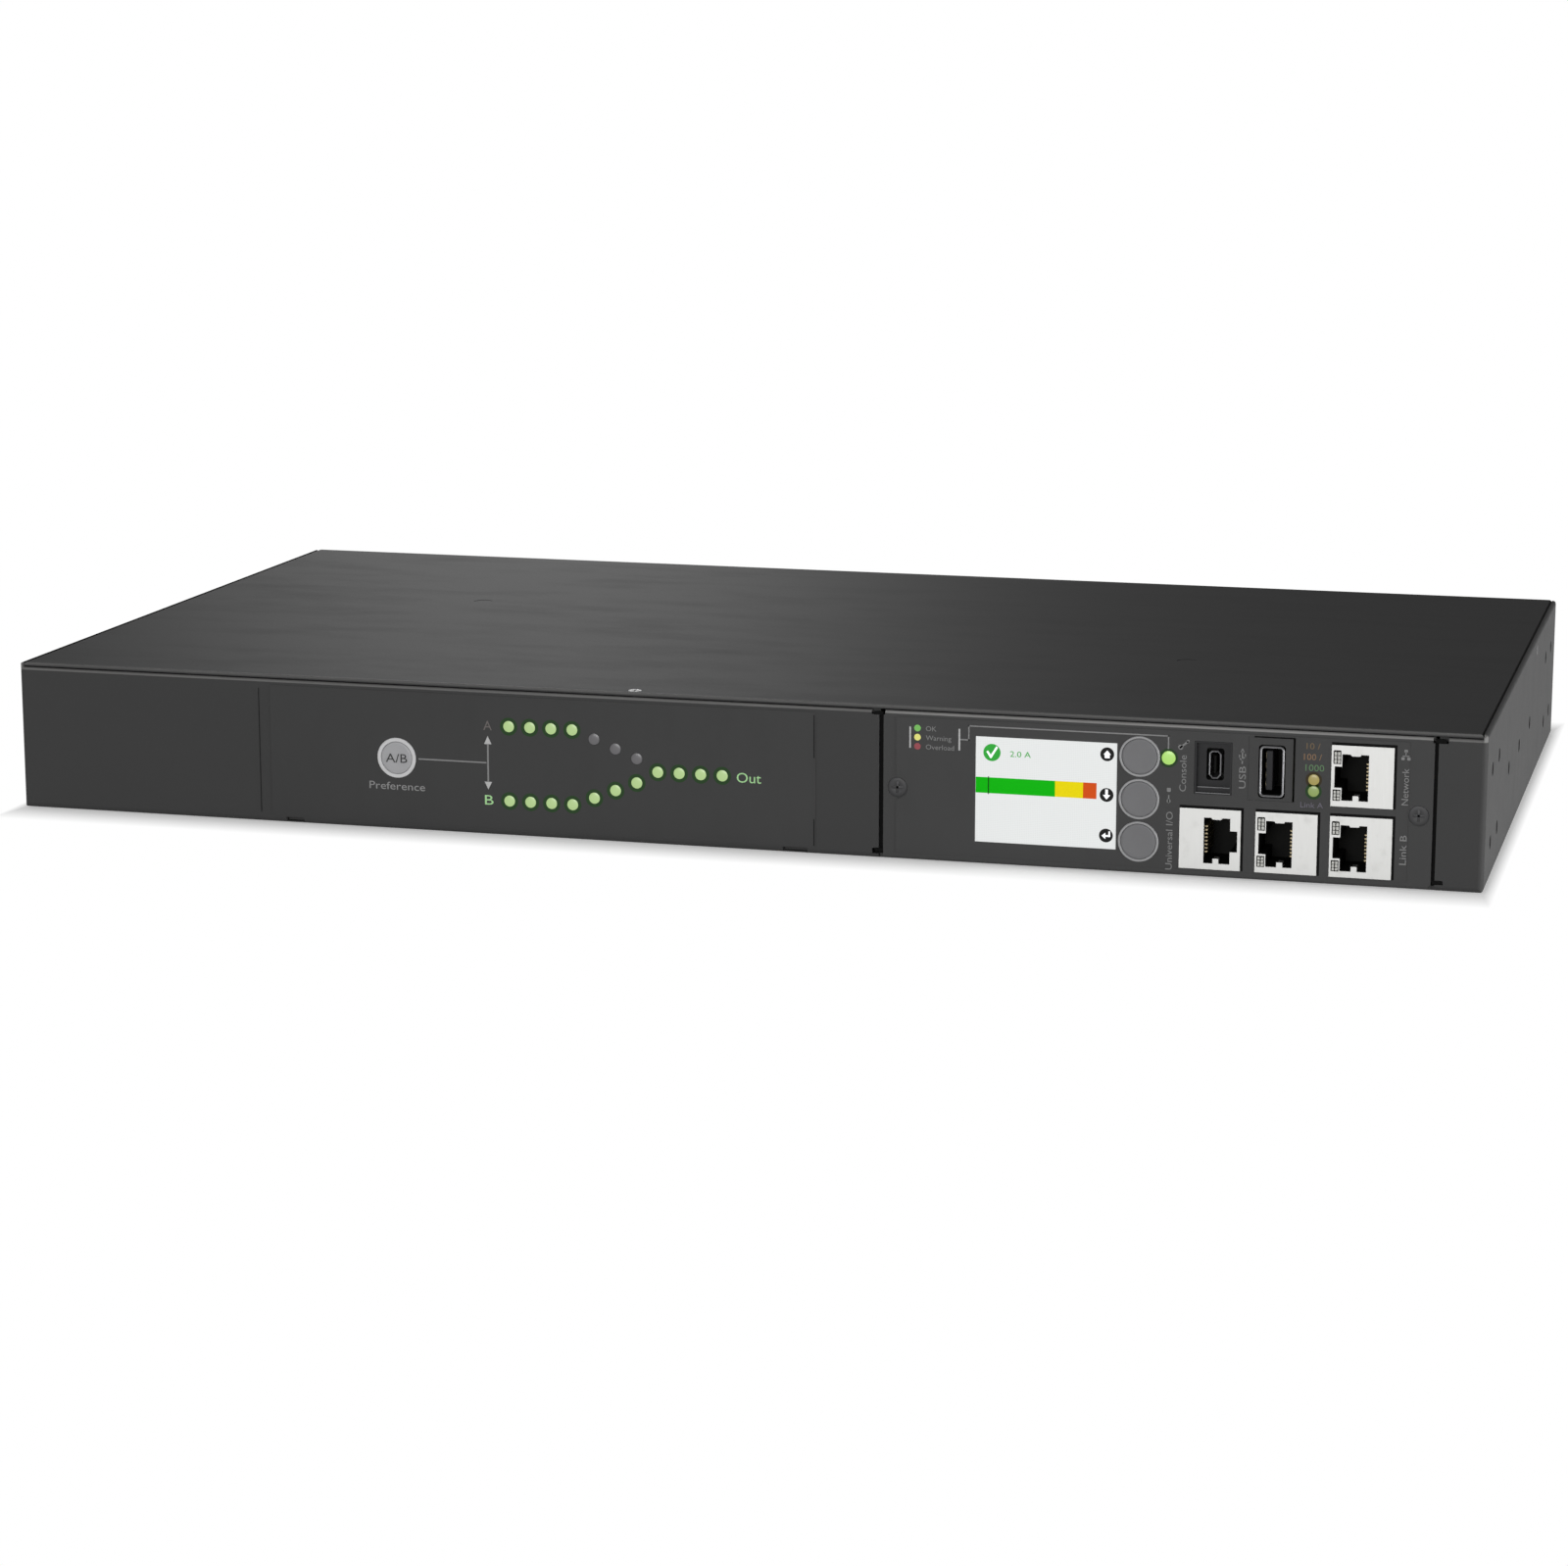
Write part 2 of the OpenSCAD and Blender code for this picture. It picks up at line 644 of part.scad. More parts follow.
// Tactile switches that the four stems press
module tact_switches() {
  color("#1a1a1c") placed()
    for (p = concat([[select_x, mid_z - 0.7]],
        [for (i = [-1 : 1]) [button_x, button_z + i * button_pitch]]))
      difference() {
        block([p[0] - 3, p[0] + 3], [4.5, 8], [p[1] - 3, p[1] + 3]);
        rod_y(p[0], p[1], 4, 6.8, 1.68);
      }
}

// Flat cable from the diagram board to the control board
module ribbon_cable() {
  color("#8a8d92") placed() translate([0, 0, 13]) linear_extrude(10) {
    translate([230.6, 16]) square([0.8, 4.4]);
    translate([230.6, 20.4]) square([47.8, 0.8]);
    translate([277.6, 21.2]) square([0.8, 2.8]);
  }
}

module board_headers() {
  color("#e3ddca") placed() {
    block([227, 235], [9.6, 16], [12, 24]);
    block([272, 284], [24, 30], [8.6, 24]);
    block([292, 326], [9.6, 26], [8.6, 12.6]);
    block([352, 402], [jack_d + board_t, 26], [8.6, 12.6]);
    for (y = [76, 130]) block([238, 247], [y, y + 14], [deck + board_t, 17]);
    block([273, 281], [76, 90], [8.6, 17]);
    block([270, 279], [130, 144], [deck + board_t, 17]);
  }
}

// Leads from the power board to the control board and to the supply board
module signal_wires() {
  color("#a33a32") placed() {
    for (i = [0 : 4]) rod_x(247, 273, 78 + 2.5 * i, 13.5, 0.8);
    for (i = [0 : 2]) rod_x(247, 270, 133 + 4 * i, 13.5, 1.1);
  }
}

// --- front module --------------------------------------------------------------------

function module_screw_xs() = [face_x0 + 4, face_x1 - 3.8];

// Opening of the jack faces, USB ports, display, rings and lamps in a front sheet
module module_openings(y0, y1, film) {
  block([lcd[0], lcd[1]], [y0, y1], [lcd[2], lcd[3]]);
  for (i = [-1 : 1]) rod_y(button_x, button_z + i * button_pitch, y0, y1, button_r + 0.02);
  for (j = JACKS) block([j[0] - 0.15, j[0] + jack_s + 0.15], [y0, y1],
    [j[1] - 0.1, j[1] + jack_s + 0.1]);
  block([352.4, 362.8], [y0, y1], [23.6, 38.4]);
  // seam round two sides of the data port plate
  block([368.7, 380.1], [y0, y1], [40.15, 40.6]);
  block([379.5, 380.1], [y0, y1], [22.6, 40.6]);
  if (film) plate_y([367.2, 380.1], [22.6, 40.6], [y0, y1], 0.3);
  else plate_y([370.05, 377.45], [23.35, 38.25], [y0, y1], 1);
  rod_y(345.2, 33.2, y0, y1, 1.95);
  for (z = [29.2, 26]) rod_y(385.3, z, y0, y1, 1.55);
}

// Faceplate with a returned top flange, a shelf and two side lips, in one sheet
module module_frame() {
  color("#3c3c3e") placed() difference() {
    union() {
      block([face_x0, face_x1], [0, sheet], [0.2, wall_top]);
      block([face_x0, face_x1], [sheet, flange_d], [wall_top - sheet, wall_top]);
      block([266, 416], [sheet, shelf_d], [sheet, 2 * sheet]);
      for (x = [[266, 266 + sheet], [416 - sheet, 416]])
        block(x, [14, shelf_d], [2 * sheet, 10]);
    }
    edge_cut_x([face_x0 - 1, face_x1 + 1], 0, wall_top, sheet);
    edge_cut_x([face_x0 - 1, face_x1 + 1], 0, 0.2, sheet - 0.3, -1);
    module_openings(-1, sheet + eps, false);
    block([face_x0 - 1, face_x0 + 0.4], [-1, 2], [41.3, 43]);
    block([face_x1 - 0.5, face_x1 + 1], [-1, 2], [41, 43]);
    // cut lower right corner
    translate([face_x1, -1, 0.2]) rotate([0, 45, 0]) cube([2, 4, 2], center = true);
    for (x = module_screw_xs()) {
      rod_y(x, screw_z, -1, 3, 1.6);
      rod_y(x, screw_z, -eps, sheet, 2.95, 1.65);
    }
  }
}

module module_overlay() {
  color("#353537") placed() difference() {
    plate_y([268.2, 411.2], [1.9, 41], [-film_t, 0], 0.6);
    module_openings(-1, 1, true);
    for (x = module_screw_xs()) rod_y(x, screw_z, -1, 1, 3.2);
  }
}

module module_screws() {
  color("#1a1a1c") placed() for (x = module_screw_xs())
    translate([x, 0.02, screw_z]) rotate([90, 0, 0]) flush_screw(1.45, 2.75, 9);
}

module lcd_panel() {
  color("#edf1f2") placed()
    block([lcd[0] + 0.05, lcd[1] - 0.05], [-0.05, sheet], [lcd[2] + 0.05, lcd[3] - 0.05]);
}

module lcd_housing() {
  color("#232325") placed() block([288.3, 331.2], [sheet, 8], [4.2, 38.8]);
}

module ui_board() {
  color("#2f5a3c") placed() block([287, 346.6], [8, 8 + board_t], [2 * sheet, 41]);
}

// Status lamp beside the display and the two network lamps
module module_lenses() {
  color("#8fe04c") placed() {
    rod_y(345.2, 33.2, -film_t - 0.1, 8, 1.9);
    for (z = [29.2, 26]) rod_y(385.3, z, -film_t - 0.1, jack_d, 1.5);
  }
}

module port_board() {
  color("#2f5a3c") placed() block([347, 410], [jack_d, jack_d + board_t], [2 * sheet, 40.8]);
}

// Runs children in a jack's own coordinates: x from its latch side, z from its bottom
module at_jack(j) {
  translate([j[0] + (j[2] ? jack_s : 0), 0, j[1]]) mirror([j[2], 0, 0]) children();
}

// Plug cavity with the latch key towards x = 0
module jack_cavity(y0, y1) {
  block([2.9, 10.2], [y0, y1], [1.7, 14.6]);
  block([0.9, 3], [y0, y1], [5.2, 11.1]);
}

// Bright shields with a latch-shaped mouth and two contact springs
module jack_shields() {
  color("#d5d5d2") placed() for (j = JACKS) at_jack(j) difference() {
    block([0, jack_s], [-0.3, jack_d], [0, jack_s]);
    block([0.4, jack_s - 0.4], [0.2, jack_d + 1], [0.4, jack_s - 0.4]);
    difference() {
      jack_cavity(-1, 1);
      block([6, 7.6], [-2, 2], [1, 3.1]);
      block([5.4, 8], [-2, 2], [14.2, 15]);
    }
    if (j[2] == 0) for (z = [[1.6, 4.6], [11.8, 15.6]]) block([0.7, 2.5], [-1, 0.3], z);
  }
}

// Plastic bodies inside the shields
module jack_inserts() {
  color("#171715") placed() for (j = JACKS) at_jack(j) difference() {
    block([0.4, jack_s - 0.4], [0.2, jack_d], [0.4, jack_s - 0.4]);
    jack_cavity(-1, 13);
    for (i = [0 : 7]) contact(j, i);
  }
}

// One sprung contact on the side away from the latch
module contact(j, i) {
  block([9.4, 11], [1.6, 13], [4.4 + 1.02 * i, 4.8 + 1.02 * i]);
}

module jack_contacts() {
  color("#c8a24a") placed() for (j = JACKS, i = [0 : 7]) at_jack(j) contact(j, i);
}

// Receptacle with its tongue, standing on the port board
module usb_port() {
  color("#b4b6ba") placed() {
    difference() {
      plate_y([370.4, 377.1], [23.7, 37.9], [-0.2, jack_d], 0.8);
      plate_y([370.9, 376.65], [24.2, 37.4], [-1, 13], 0.4);
    }
    block([371.95, 373.75], [0.9, 13], [25.2, 36.4]);
  }
}

// Stepped plastic surround of the console port
module console_bezel() {
  color("#29292b") placed() difference() {
    block([352.5, 362.7], [-0.1, 5], [23.7, 38.3]);
    block([352.9, 362.3], [-1, 2], [25.3, 37.95]);
    block([352.9, 362.3], [-1, 1], [24.05, 37.95]);
    plate_y([355.4, 360.3], [27.2, 36.2], [-1, 6], 0.8);
  }
}

module console_shell() {
  color("#8f9195") placed() difference() {
    console_outline(0, [2.2, jack_d]);
    console_outline(0.35, [0, 8]);
    block([357.5, 358.2], [1, 9], [29.2, 34.2]);
  }
}

// Narrow outline with cut corners, shrunk by d
module console_outline(d, y) {
  translate([0, y[1], 0]) rotate([90, 0, 0]) linear_extrude(y[1] - y[0])
    polygon([[357.2, 27.8 + d], [358.6, 27.8 + d], [359.6 - d, 28.9], [359.6 - d, 34.7],
      [358.8, 35.6 - d], [357, 35.6 - d], [356.2 + d, 34.9], [356.2 + d, 28.9]]);
}

module control_board() {
  color("#2f5a3c") placed() block([270, 408], [20, 110], [7, 7 + board_t]);
}

// Processor, memory, network parts and clock cell on the control board
module control_chips() {
  z = 7 + board_t;
  color("#161618") placed() {
    block([318, 334], [48, 64], [z, z + 1.4]);
    block([342, 354], [50, 64], [z, z + 1.2]);
    for (x = [345, 363, 381]) block([x, x + 13], [30, 46], [z, z + 6]);
    for (i = [0 : 3]) block([296 + 14 * i, 304 + 14 * i], [76, 86], [z, z + 1.6]);
    rod_z(388, 84, z, z + 4, 10.5);
    rod_z(300, 54, z, z + 8, 5);
  }
}

chassis();
cover();
cover_screws();
clinch_nuts();
insulating_sheet();
power_board();
board_standoffs();
board_screws();
relays();
current_sensors();
film_capacitors();
bulk_capacitors();
surge_varistors();
terminal_blocks();
supply_board();
supply_transformers();
supply_heatsinks();
inlet_a();
inlet_b();
inlet_blades();
large_outlet();
small_outlets();
outlet_tabs();
bus_bars();
breaker_bodies();
breaker_nuts();
breaker_button_a();
breaker_button_b();
earth_stud();
earth_wire();
power_wires();
front_overlay();
mimic_board();
mimic_lenses();
button_rings();
selector_button();
tact_switches();
ribbon_cable();
board_headers();
signal_wires();
module_frame();
module_overlay();
module_screws();
lcd_panel();
lcd_housing();
ui_board();
button_back();
button_down();
button_enter();
module_lenses();
port_board();
jack_shields();
jack_inserts();
jack_contacts();
usb_port();
console_bezel();
console_shell();
control_board();
control_chips();
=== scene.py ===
import logging
import math
from dataclasses import dataclass, field
from enum import Enum
from typing import Iterable, Mapping, Sequence

import bmesh
import bpy
from mathutils import Matrix, Vector


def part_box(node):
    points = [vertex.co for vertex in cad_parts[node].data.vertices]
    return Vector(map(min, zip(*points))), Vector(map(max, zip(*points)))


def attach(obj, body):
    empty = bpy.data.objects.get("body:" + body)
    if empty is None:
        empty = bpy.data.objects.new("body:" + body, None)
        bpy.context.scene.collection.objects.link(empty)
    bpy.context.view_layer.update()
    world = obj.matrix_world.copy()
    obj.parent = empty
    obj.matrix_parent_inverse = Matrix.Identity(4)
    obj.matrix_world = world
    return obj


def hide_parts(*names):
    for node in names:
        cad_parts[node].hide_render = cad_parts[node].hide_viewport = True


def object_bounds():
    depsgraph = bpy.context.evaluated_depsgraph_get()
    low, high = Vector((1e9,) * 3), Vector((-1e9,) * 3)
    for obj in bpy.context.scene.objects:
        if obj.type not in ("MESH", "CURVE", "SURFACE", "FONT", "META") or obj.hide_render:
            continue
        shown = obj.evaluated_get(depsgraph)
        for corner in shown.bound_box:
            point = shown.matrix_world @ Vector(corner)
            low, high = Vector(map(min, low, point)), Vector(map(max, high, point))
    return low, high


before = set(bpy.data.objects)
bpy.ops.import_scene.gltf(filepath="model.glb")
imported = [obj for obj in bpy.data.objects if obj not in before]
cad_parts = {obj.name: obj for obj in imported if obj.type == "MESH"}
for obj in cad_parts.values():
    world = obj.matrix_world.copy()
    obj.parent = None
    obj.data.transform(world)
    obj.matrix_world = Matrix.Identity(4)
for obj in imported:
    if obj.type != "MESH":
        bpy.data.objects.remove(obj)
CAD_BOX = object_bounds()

LOG = logging.getLogger("transfer_switch")
MM = 0.001
FILM_GRAIN = 0.35 * MM
Colour = tuple[float, float, float]
Point = tuple[float, float]
Triple = tuple[float, float, float]
Sockets = dict[str, object]


# --- shader expressions ----------------------------------------------------------------


class Signal:
    """A node's output, usable in Python arithmetic; each operation adds a Math node."""

    def __init__(self, graph: "Graph", socket: bpy.types.NodeSocket) -> None:
        """Keeps the graph and the output socket."""
        self.graph = graph
        self.socket = socket

    def math(self, operation: str, *values: "Signal | float") -> "Signal":
        """Adds one Math node.

        Args:
            operation: The Math node's operation.
            values: Its inputs, in order.

        Returns:
            The node's output.
        """
        return self.graph.node(
            "ShaderNodeMath", {"operation": operation}, dict(enumerate(values))
        )

    def __add__(self, other: "Signal | float") -> "Signal":
        """Sum."""
        return self.math("ADD", self, other)

    __radd__ = __add__

    def __sub__(self, other: "Signal | float") -> "Signal":
        """Difference."""
        return self.math("SUBTRACT", self, other)

    def __rsub__(self, other: float) -> "Signal":
        """Difference from a plain number."""
        return self.math("SUBTRACT", other, self)

    def __mul__(self, other: "Signal | float") -> "Signal":
        """Product."""
        return self.math("MULTIPLY", self, other)

    __rmul__ = __mul__

    def __abs__(self) -> "Signal":
        """Absolute value."""
        return self.math("ABSOLUTE", self)

    def most(self, other: "Signal | float") -> "Signal":
        """The larger of two values."""
        return self.math("MAXIMUM", self, other)

    def wave(self, length: float) -> "Signal":
        """A sine of this value with the given wavelength, from 0 to 1."""
        return self.math("SINE", self * (2 * math.pi / length)) * 0.5 + 0.5

    def ramp(self, low: float, high: float) -> "Signal":
        """0 below low, 1 above high, and a straight slope between.

        Args:
            low: Value at which the ramp starts; it may be the greater one.
            high: Value at which it is full.

        Returns:
            The ramp, from 0 to 1.
        """
        return self.graph.node(
            "ShaderNodeMapRange", {"clamp": True}, {0: self, 1: low, 2: high, 3: 0.0, 4: 1.0}
        )


class Graph:
    """The node tree of one material or world."""

    def __init__(self, owner: bpy.types.Material | bpy.types.World) -> None:
        """Empties the owner's tree and gives it an output node.

        Args:
            owner: The material or world.
        """
        owner.use_nodes = True
        self.owner = owner
        self.tree = owner.node_tree
        self.tree.nodes.clear()
        kind = "World" if isinstance(owner, bpy.types.World) else "Material"
        self.output = self.tree.nodes.new("ShaderNodeOutput" + kind)

    @classmethod
    def named(cls, name: str) -> "Graph":
        """Starts a new material of this name."""
        return cls(bpy.data.materials.new(name))

    def close(self, shader: Signal) -> None:
        """Links a shader to the output."""
        self.tree.links.new(shader.socket, self.output.inputs[0])

    def node(
        self,
        kind: str,
        settings: Mapping[str, object] | None = None,
        inputs: Mapping[int | str, object] | None = None,
        output: int | str = 0,
    ) -> Signal:
        """Adds any node.

        Args:
            kind: The node's type.
            settings: Attributes to set first; "stops" fills a colour ramp.
            inputs: Values or links, by socket name or index.
            output: Which output to return.

        Returns:
            The chosen output.
        """
        made = self.tree.nodes.new(kind)
        for key, value in (settings or {}).items():
            if key == "stops":
                ramp = made.color_ramp
                while len(ramp.elements) < len(value):
                    ramp.elements.new(0.5)
                for element, (place, colour) in zip(ramp.elements, value):
                    element.position = place
                    element.color = (*colour, 1.0)
            else:
                setattr(made, key, value)
        for key, value in (inputs or {}).items():
            socket = made.inputs[key]
            if isinstance(value, Signal):
                self.tree.links.new(value.socket, socket)
            elif isinstance(value, tuple) and len(value) == 3 and socket.type == "RGBA":
                socket.default_value = (*value, 1.0)
            else:
                socket.default_value = value
        return Signal(self, made.outputs[output])

    def place(self) -> Signal:
        """The point's object coordinates, in metres."""
        return self.node("ShaderNodeTexCoord", output="Object")

    def axes(self) -> tuple[Signal, Signal, Signal]:
        """The three object coordinates as separate values.

        Returns:
            x, y and z in metres.
        """
        split = self.node("ShaderNodeSeparateXYZ", {}, {0: self.place()})
        outs = split.socket.node.outputs
        return Signal(self, outs[0]), Signal(self, outs[1]), Signal(self, outs[2])

    def radius(self) -> Signal:
        """The share of a round piece's full radius, from the piece's own map."""
        spot = self.node("ShaderNodeUVMap", {"uv_map": "UVMap"})
        return self.node("ShaderNodeSeparateXYZ", {}, {0: spot})

    def noise(
        self, size: float, detail: float = 3.0, stretch: Sequence[float] = (1, 1, 1)
    ) -> Signal:
        """Fractal noise.

        Args:
            size: Rough size of one blotch in metres.
            detail: Octaves.
            stretch: How much longer the blotches are along each axis.

        Returns:
            The noise, centred on 0.5.
        """
        scale = tuple(1.0 / s for s in stretch)
        where = self.node("ShaderNodeMapping", {}, {"Vector": self.place(), "Scale": scale})
        return self.node(
            "ShaderNodeTexNoise",
            {},
            {"Vector": where, "Scale": 1.0 / size, "Detail": detail, "Roughness": 0.55},
        )

    def blend(self, factor: Signal | float, a: Signal | Colour, b: Signal | Colour) -> Signal:
        """Mixes two colours.

        Args:
            factor: How much of the second, from 0 to 1.
            a: The first colour.
            b: The second colour.

        Returns:
            The mixed colour.
        """
        return self.node(
            "ShaderNodeMix", {"data_type": "RGBA"}, {0: factor, 6: a, 7: b}, output=2
        )

    def seen(self) -> Signal:
        """1 where a ray comes from the camera, a mirror or glass, and 0 where it only lights.

        Returns:
            The mask.
        """
        path = self.node("ShaderNodeLightPath")
        outs = path.socket.node.outputs
        camera, glossy, through = (
            Signal(self, outs[f"Is {kind} Ray"]) for kind in ("Camera", "Glossy", "Transmission")
        )
        return camera.most(glossy).most(through)

    def bump(self, height: Signal, depth: float, strength: float = 0.5) -> Signal:
        """A normal bumped by a height, with the full depth in metres.

        Args:
            height: The height, from 0 to 1.
            depth: Depth of the full height in metres.
            strength: Share of the bump that is used.

        Returns:
            The normal.
        """
        return self.node(
            "ShaderNodeBump", {}, {"Height": height, "Distance": depth, "Strength": strength}
        )

    def surface(self, **inputs: object) -> bpy.types.Material:
        """Ends the graph in a Principled shader.

        Args:
            inputs: Socket values or links, with spaces in names written as underscores.

        Returns:
            The finished material.
        """
        named = {key.replace("_", " "): value for key, value in inputs.items()}
        self.close(self.node("ShaderNodeBsdfPrincipled", {}, named))
        return self.owner


def tone(level: float) -> Colour:
    """A grey of one linear level."""
    return (level, level, level)


def shade(colour: Colour, share: float) -> Colour:
    """A colour made darker or lighter, up to full strength."""
    return tuple(min(1.0, c * share) for c in colour)


# --- finishes --------------------------------------------------------------------------


@dataclass(frozen=True)
class Finish:
    """Something that can be laid on a piece."""

    name: str

    def sockets(self, g: Graph) -> Sockets:
        """The Principled shader's values and links, with nodes added to the graph.

        Args:
            g: The material's graph, which gains the nodes.

        Returns:
            Values and links, by socket name.
        """
        raise NotImplementedError

    def build(self) -> bpy.types.Material:
        """Makes the material."""
        g = Graph.named(self.name)
        return g.surface(**self.sockets(g))


@dataclass(frozen=True)
class PowderCoat(Finish):
    """Satin powder paint over folded sheet: fine grain, faint mottling, painted highlight on edges.

    The highlight is painted near the front only, along the top edge and, where bend is set,
    along the front bend at that height. The last three pairs say where the painted highlight
    starts and where it is full, measured from the front, from the top and from the bend.
    """

    level: float = 0.045
    roughness: float = 0.6
    sheen: float = 0.15
    grain: float = 0.0007
    depth: float = 0.00001
    # From here on: strength, bend height, colour and reach of the painted edge highlight.
    highlight_share: float = 0.75
    bend: float = 0.0
    highlight_tone: Colour = (0.3, 0.297, 0.291)
    front: Point = (1.8 * MM, 1.2 * MM)
    top_edge: Point = (-0.8 * MM, -0.4 * MM)
    bend_edge: Point = (-0.6 * MM, -0.4 * MM)

    def sockets(self, g: Graph) -> Sockets:
        """The shader's values and links.

        Args:
            g: The material's graph, which gains the nodes.

        Returns:
            Values and links, by socket name.
        """
        _, y, z = g.axes()
        mottle = g.noise(0.055, 4)
        grain = g.noise(self.grain, 2)
        streaks = g.noise(0.012, 5, (3.0, 1.0, 1.0))
        low, high = CAD_BOX
        # Painted highlight: near the front, the top edge and the front bend are painted lighter,
        # standing for light caught on the rounded edges.
        front = (y - low[1]).ramp(*self.front)
        painted_highlight = (z - high[2]).ramp(*self.top_edge) * front
        if self.bend:
            rise = z - PANEL.at(0, 0, self.bend).z
            painted_highlight = painted_highlight.most(rise.ramp(*self.bend_edge) * front)
        painted_highlight = painted_highlight * (streaks * 0.5 + 0.6) * self.highlight_share
        body = g.blend(
            mottle * 0.5 + grain * 0.5, tone(self.level * 0.92), tone(self.level * 1.08)
        )
        colour = g.blend(painted_highlight, body, self.highlight_tone)
        smear = streaks.ramp(0.45, 0.75) * 0.03
        return dict(
            Base_Color=colour,
            Roughness=grain * 0.08 + smear + (self.roughness - 0.06),
            Specular_IOR_Level=self.sheen,
            Normal=g.bump(grain, self.depth, 1.0),
        )


@dataclass(frozen=True)
class Film(Finish):
    """Printed polyester film with a fine matt grain."""

    level: float = 0.036
    roughness: float = 0.55

    def sockets(self, g: Graph) -> Sockets:
        """The shader's values and links.

        Args:
            g: The material's graph, which gains the nodes.

        Returns:
            Values and links, by socket name.
        """
        texture = g.noise(FILM_GRAIN, 2)
        cloud = g.noise(0.03, 3)
        smear = g.noise(0.009, 4, (1.0, 1.0, 2.5)).ramp(0.5, 0.8)
        return dict(
            Base_Color=g.blend(cloud, tone(self.level * 0.93), tone(self.level * 1.07)),
            Roughness=texture * 0.08 + smear * 0.05 + (self.roughness - 0.04),
            Specular_IOR_Level=0.3,
            Normal=g.bump(texture, 0.000012, 0.4),
        )


@dataclass(frozen=True)
class Moulded(Finish):
    """Moulded plastic with a spark-eroded texture and faint flow marks."""

    colour: Colour = (0.02, 0.02, 0.021)
    roughness: float = 0.5
    grain: float = 0.0004
    depth: float = 0.00001
    gloss: float = 0.5

    def sockets(self, g: Graph) -> Sockets:
        """The shader's values and links.

        Args:
            g: The material's graph, which gains the nodes.

        Returns:
            Values and links, by socket name.
        """
        texture = g.noise(self.grain, 2)
        flow = g.noise(0.006, 4, (1.0, 1.0, 3.0))
        dark, light = shade(self.colour, 0.88), shade(self.colour, 1.12)
        return dict(
            Base_Color=g.blend(flow * 0.7 + texture * 0.3, dark, light),
            Roughness=flow * 0.1 + texture * 0.06 + (self.roughness - 0.08),
            Specular_IOR_Level=self.gloss,
            Normal=g.bump(texture, self.depth, 0.4),
        )


@dataclass(frozen=True)
class PlatedMetal(Finish):
    """Bare or plated metal with drawn lines along one axis and light tarnish."""

    colour: Colour = (0.7, 0.7, 0.69)
    roughness: float = 0.35
    drawn: Triple = (1.0, 30.0, 1.0)
    tarnish: Colour = (0.45, 0.44, 0.42)

    def sockets(self, g: Graph) -> Sockets:
        """The shader's values and links.

        Args:
            g: The material's graph, which gains the nodes.

        Returns:
            Values and links, by socket name.
        """
        lines = g.noise(0.0002, 2, self.drawn)
        cloud = g.noise(0.004, 4)
        dulled = cloud.ramp(0.55, 0.8) * 0.35
        return dict(
            Base_Color=g.blend(dulled, self.colour, self.tarnish),
            Metallic=1.0,
            Roughness=lines * 0.12 + dulled * 0.3 + (self.roughness - 0.06),
            Normal=g.bump(lines, 0.000004, 0.35),
        )


@dataclass(frozen=True)
class SolderMask(Finish):
    """Circuit board lacquer over copper tracks, with uncoated edges of glass cloth."""

    colour: Colour = (0.012, 0.11, 0.04)
    pitch: float = 0.0026

    def sockets(self, g: Graph) -> Sockets:
        """The shader's values and links.

        Args:
            g: The material's graph, which gains the nodes.

        Returns:
            Values and links, by socket name.
        """
        cells = g.node(
            "ShaderNodeTexBrick",
            {"offset": 0.37, "squash": 0.8},
            {
                "Vector": g.place(),
                "Color1": (0.0, 0.0, 0.0),
                "Color2": (0.4, 0.4, 0.4),
                "Mortar": (1.0, 1.0, 1.0),
                "Scale": 0.5 / self.pitch,
                "Mortar Size": 0.06,
            },
        )
        cloud = g.noise(0.02, 3)
        track = tuple(min(1.0, c * 1.9 + 0.01) for c in self.colour)
        base = g.blend(cloud, self.colour, shade(self.colour, 1.2))
        return dict(
            Base_Color=g.blend(cells, base, track),
            Roughness=cloud * 0.15 + 0.28,
            Normal=g.bump(cells, 0.00003, 0.4),
        )


@dataclass(frozen=True)
class Ink(Finish):
    """Screen-printed ink with slightly uneven cover."""

    colour: Colour = (0.5, 0.5, 0.5)
    glow: float = 0.0

    def sockets(self, g: Graph) -> Sockets:
        """The shader's values and links.

        Args:
            g: The material's graph, which gains the nodes.

        Returns:
            Values and links, by socket name.
        """
        cover = g.noise(0.0005, 3)
        colour = g.blend(cover, shade(self.colour, 0.85), self.colour)
        return dict(
            Base_Color=colour,
            Roughness=cover * 0.1 + 0.55,
            Specular_IOR_Level=0.12,
            Emission_Color=colour,
            Emission_Strength=self.glow,
        )


@dataclass(frozen=True)
class Lamp(Finish):
    """A clear lens over a lamp, brightest at its middle; reads the lens's own map."""

    core: Colour = (0.6, 0.9, 0.35)
    rim: Colour = (0.15, 0.45, 0.05)
    power: float = 0.7

    def sockets(self, g: Graph) -> Sockets:
        """The shader's values and links.

        Args:
            g: The material's graph, which gains the nodes.

        Returns:
            Values and links, by socket name.
        """
        radius = g.radius()
        speck = g.noise(0.0003, 2)
        colour = g.blend((radius + speck * 0.1 - 0.05).ramp(0.55, 1.05), self.core, self.rim)
        return dict(
            Base_Color=g.blend(0.7, self.core, tone(0.02)),
            Roughness=speck * 0.08 + 0.3,
            Emission_Color=colour,
            Emission_Strength=self.power,
        )


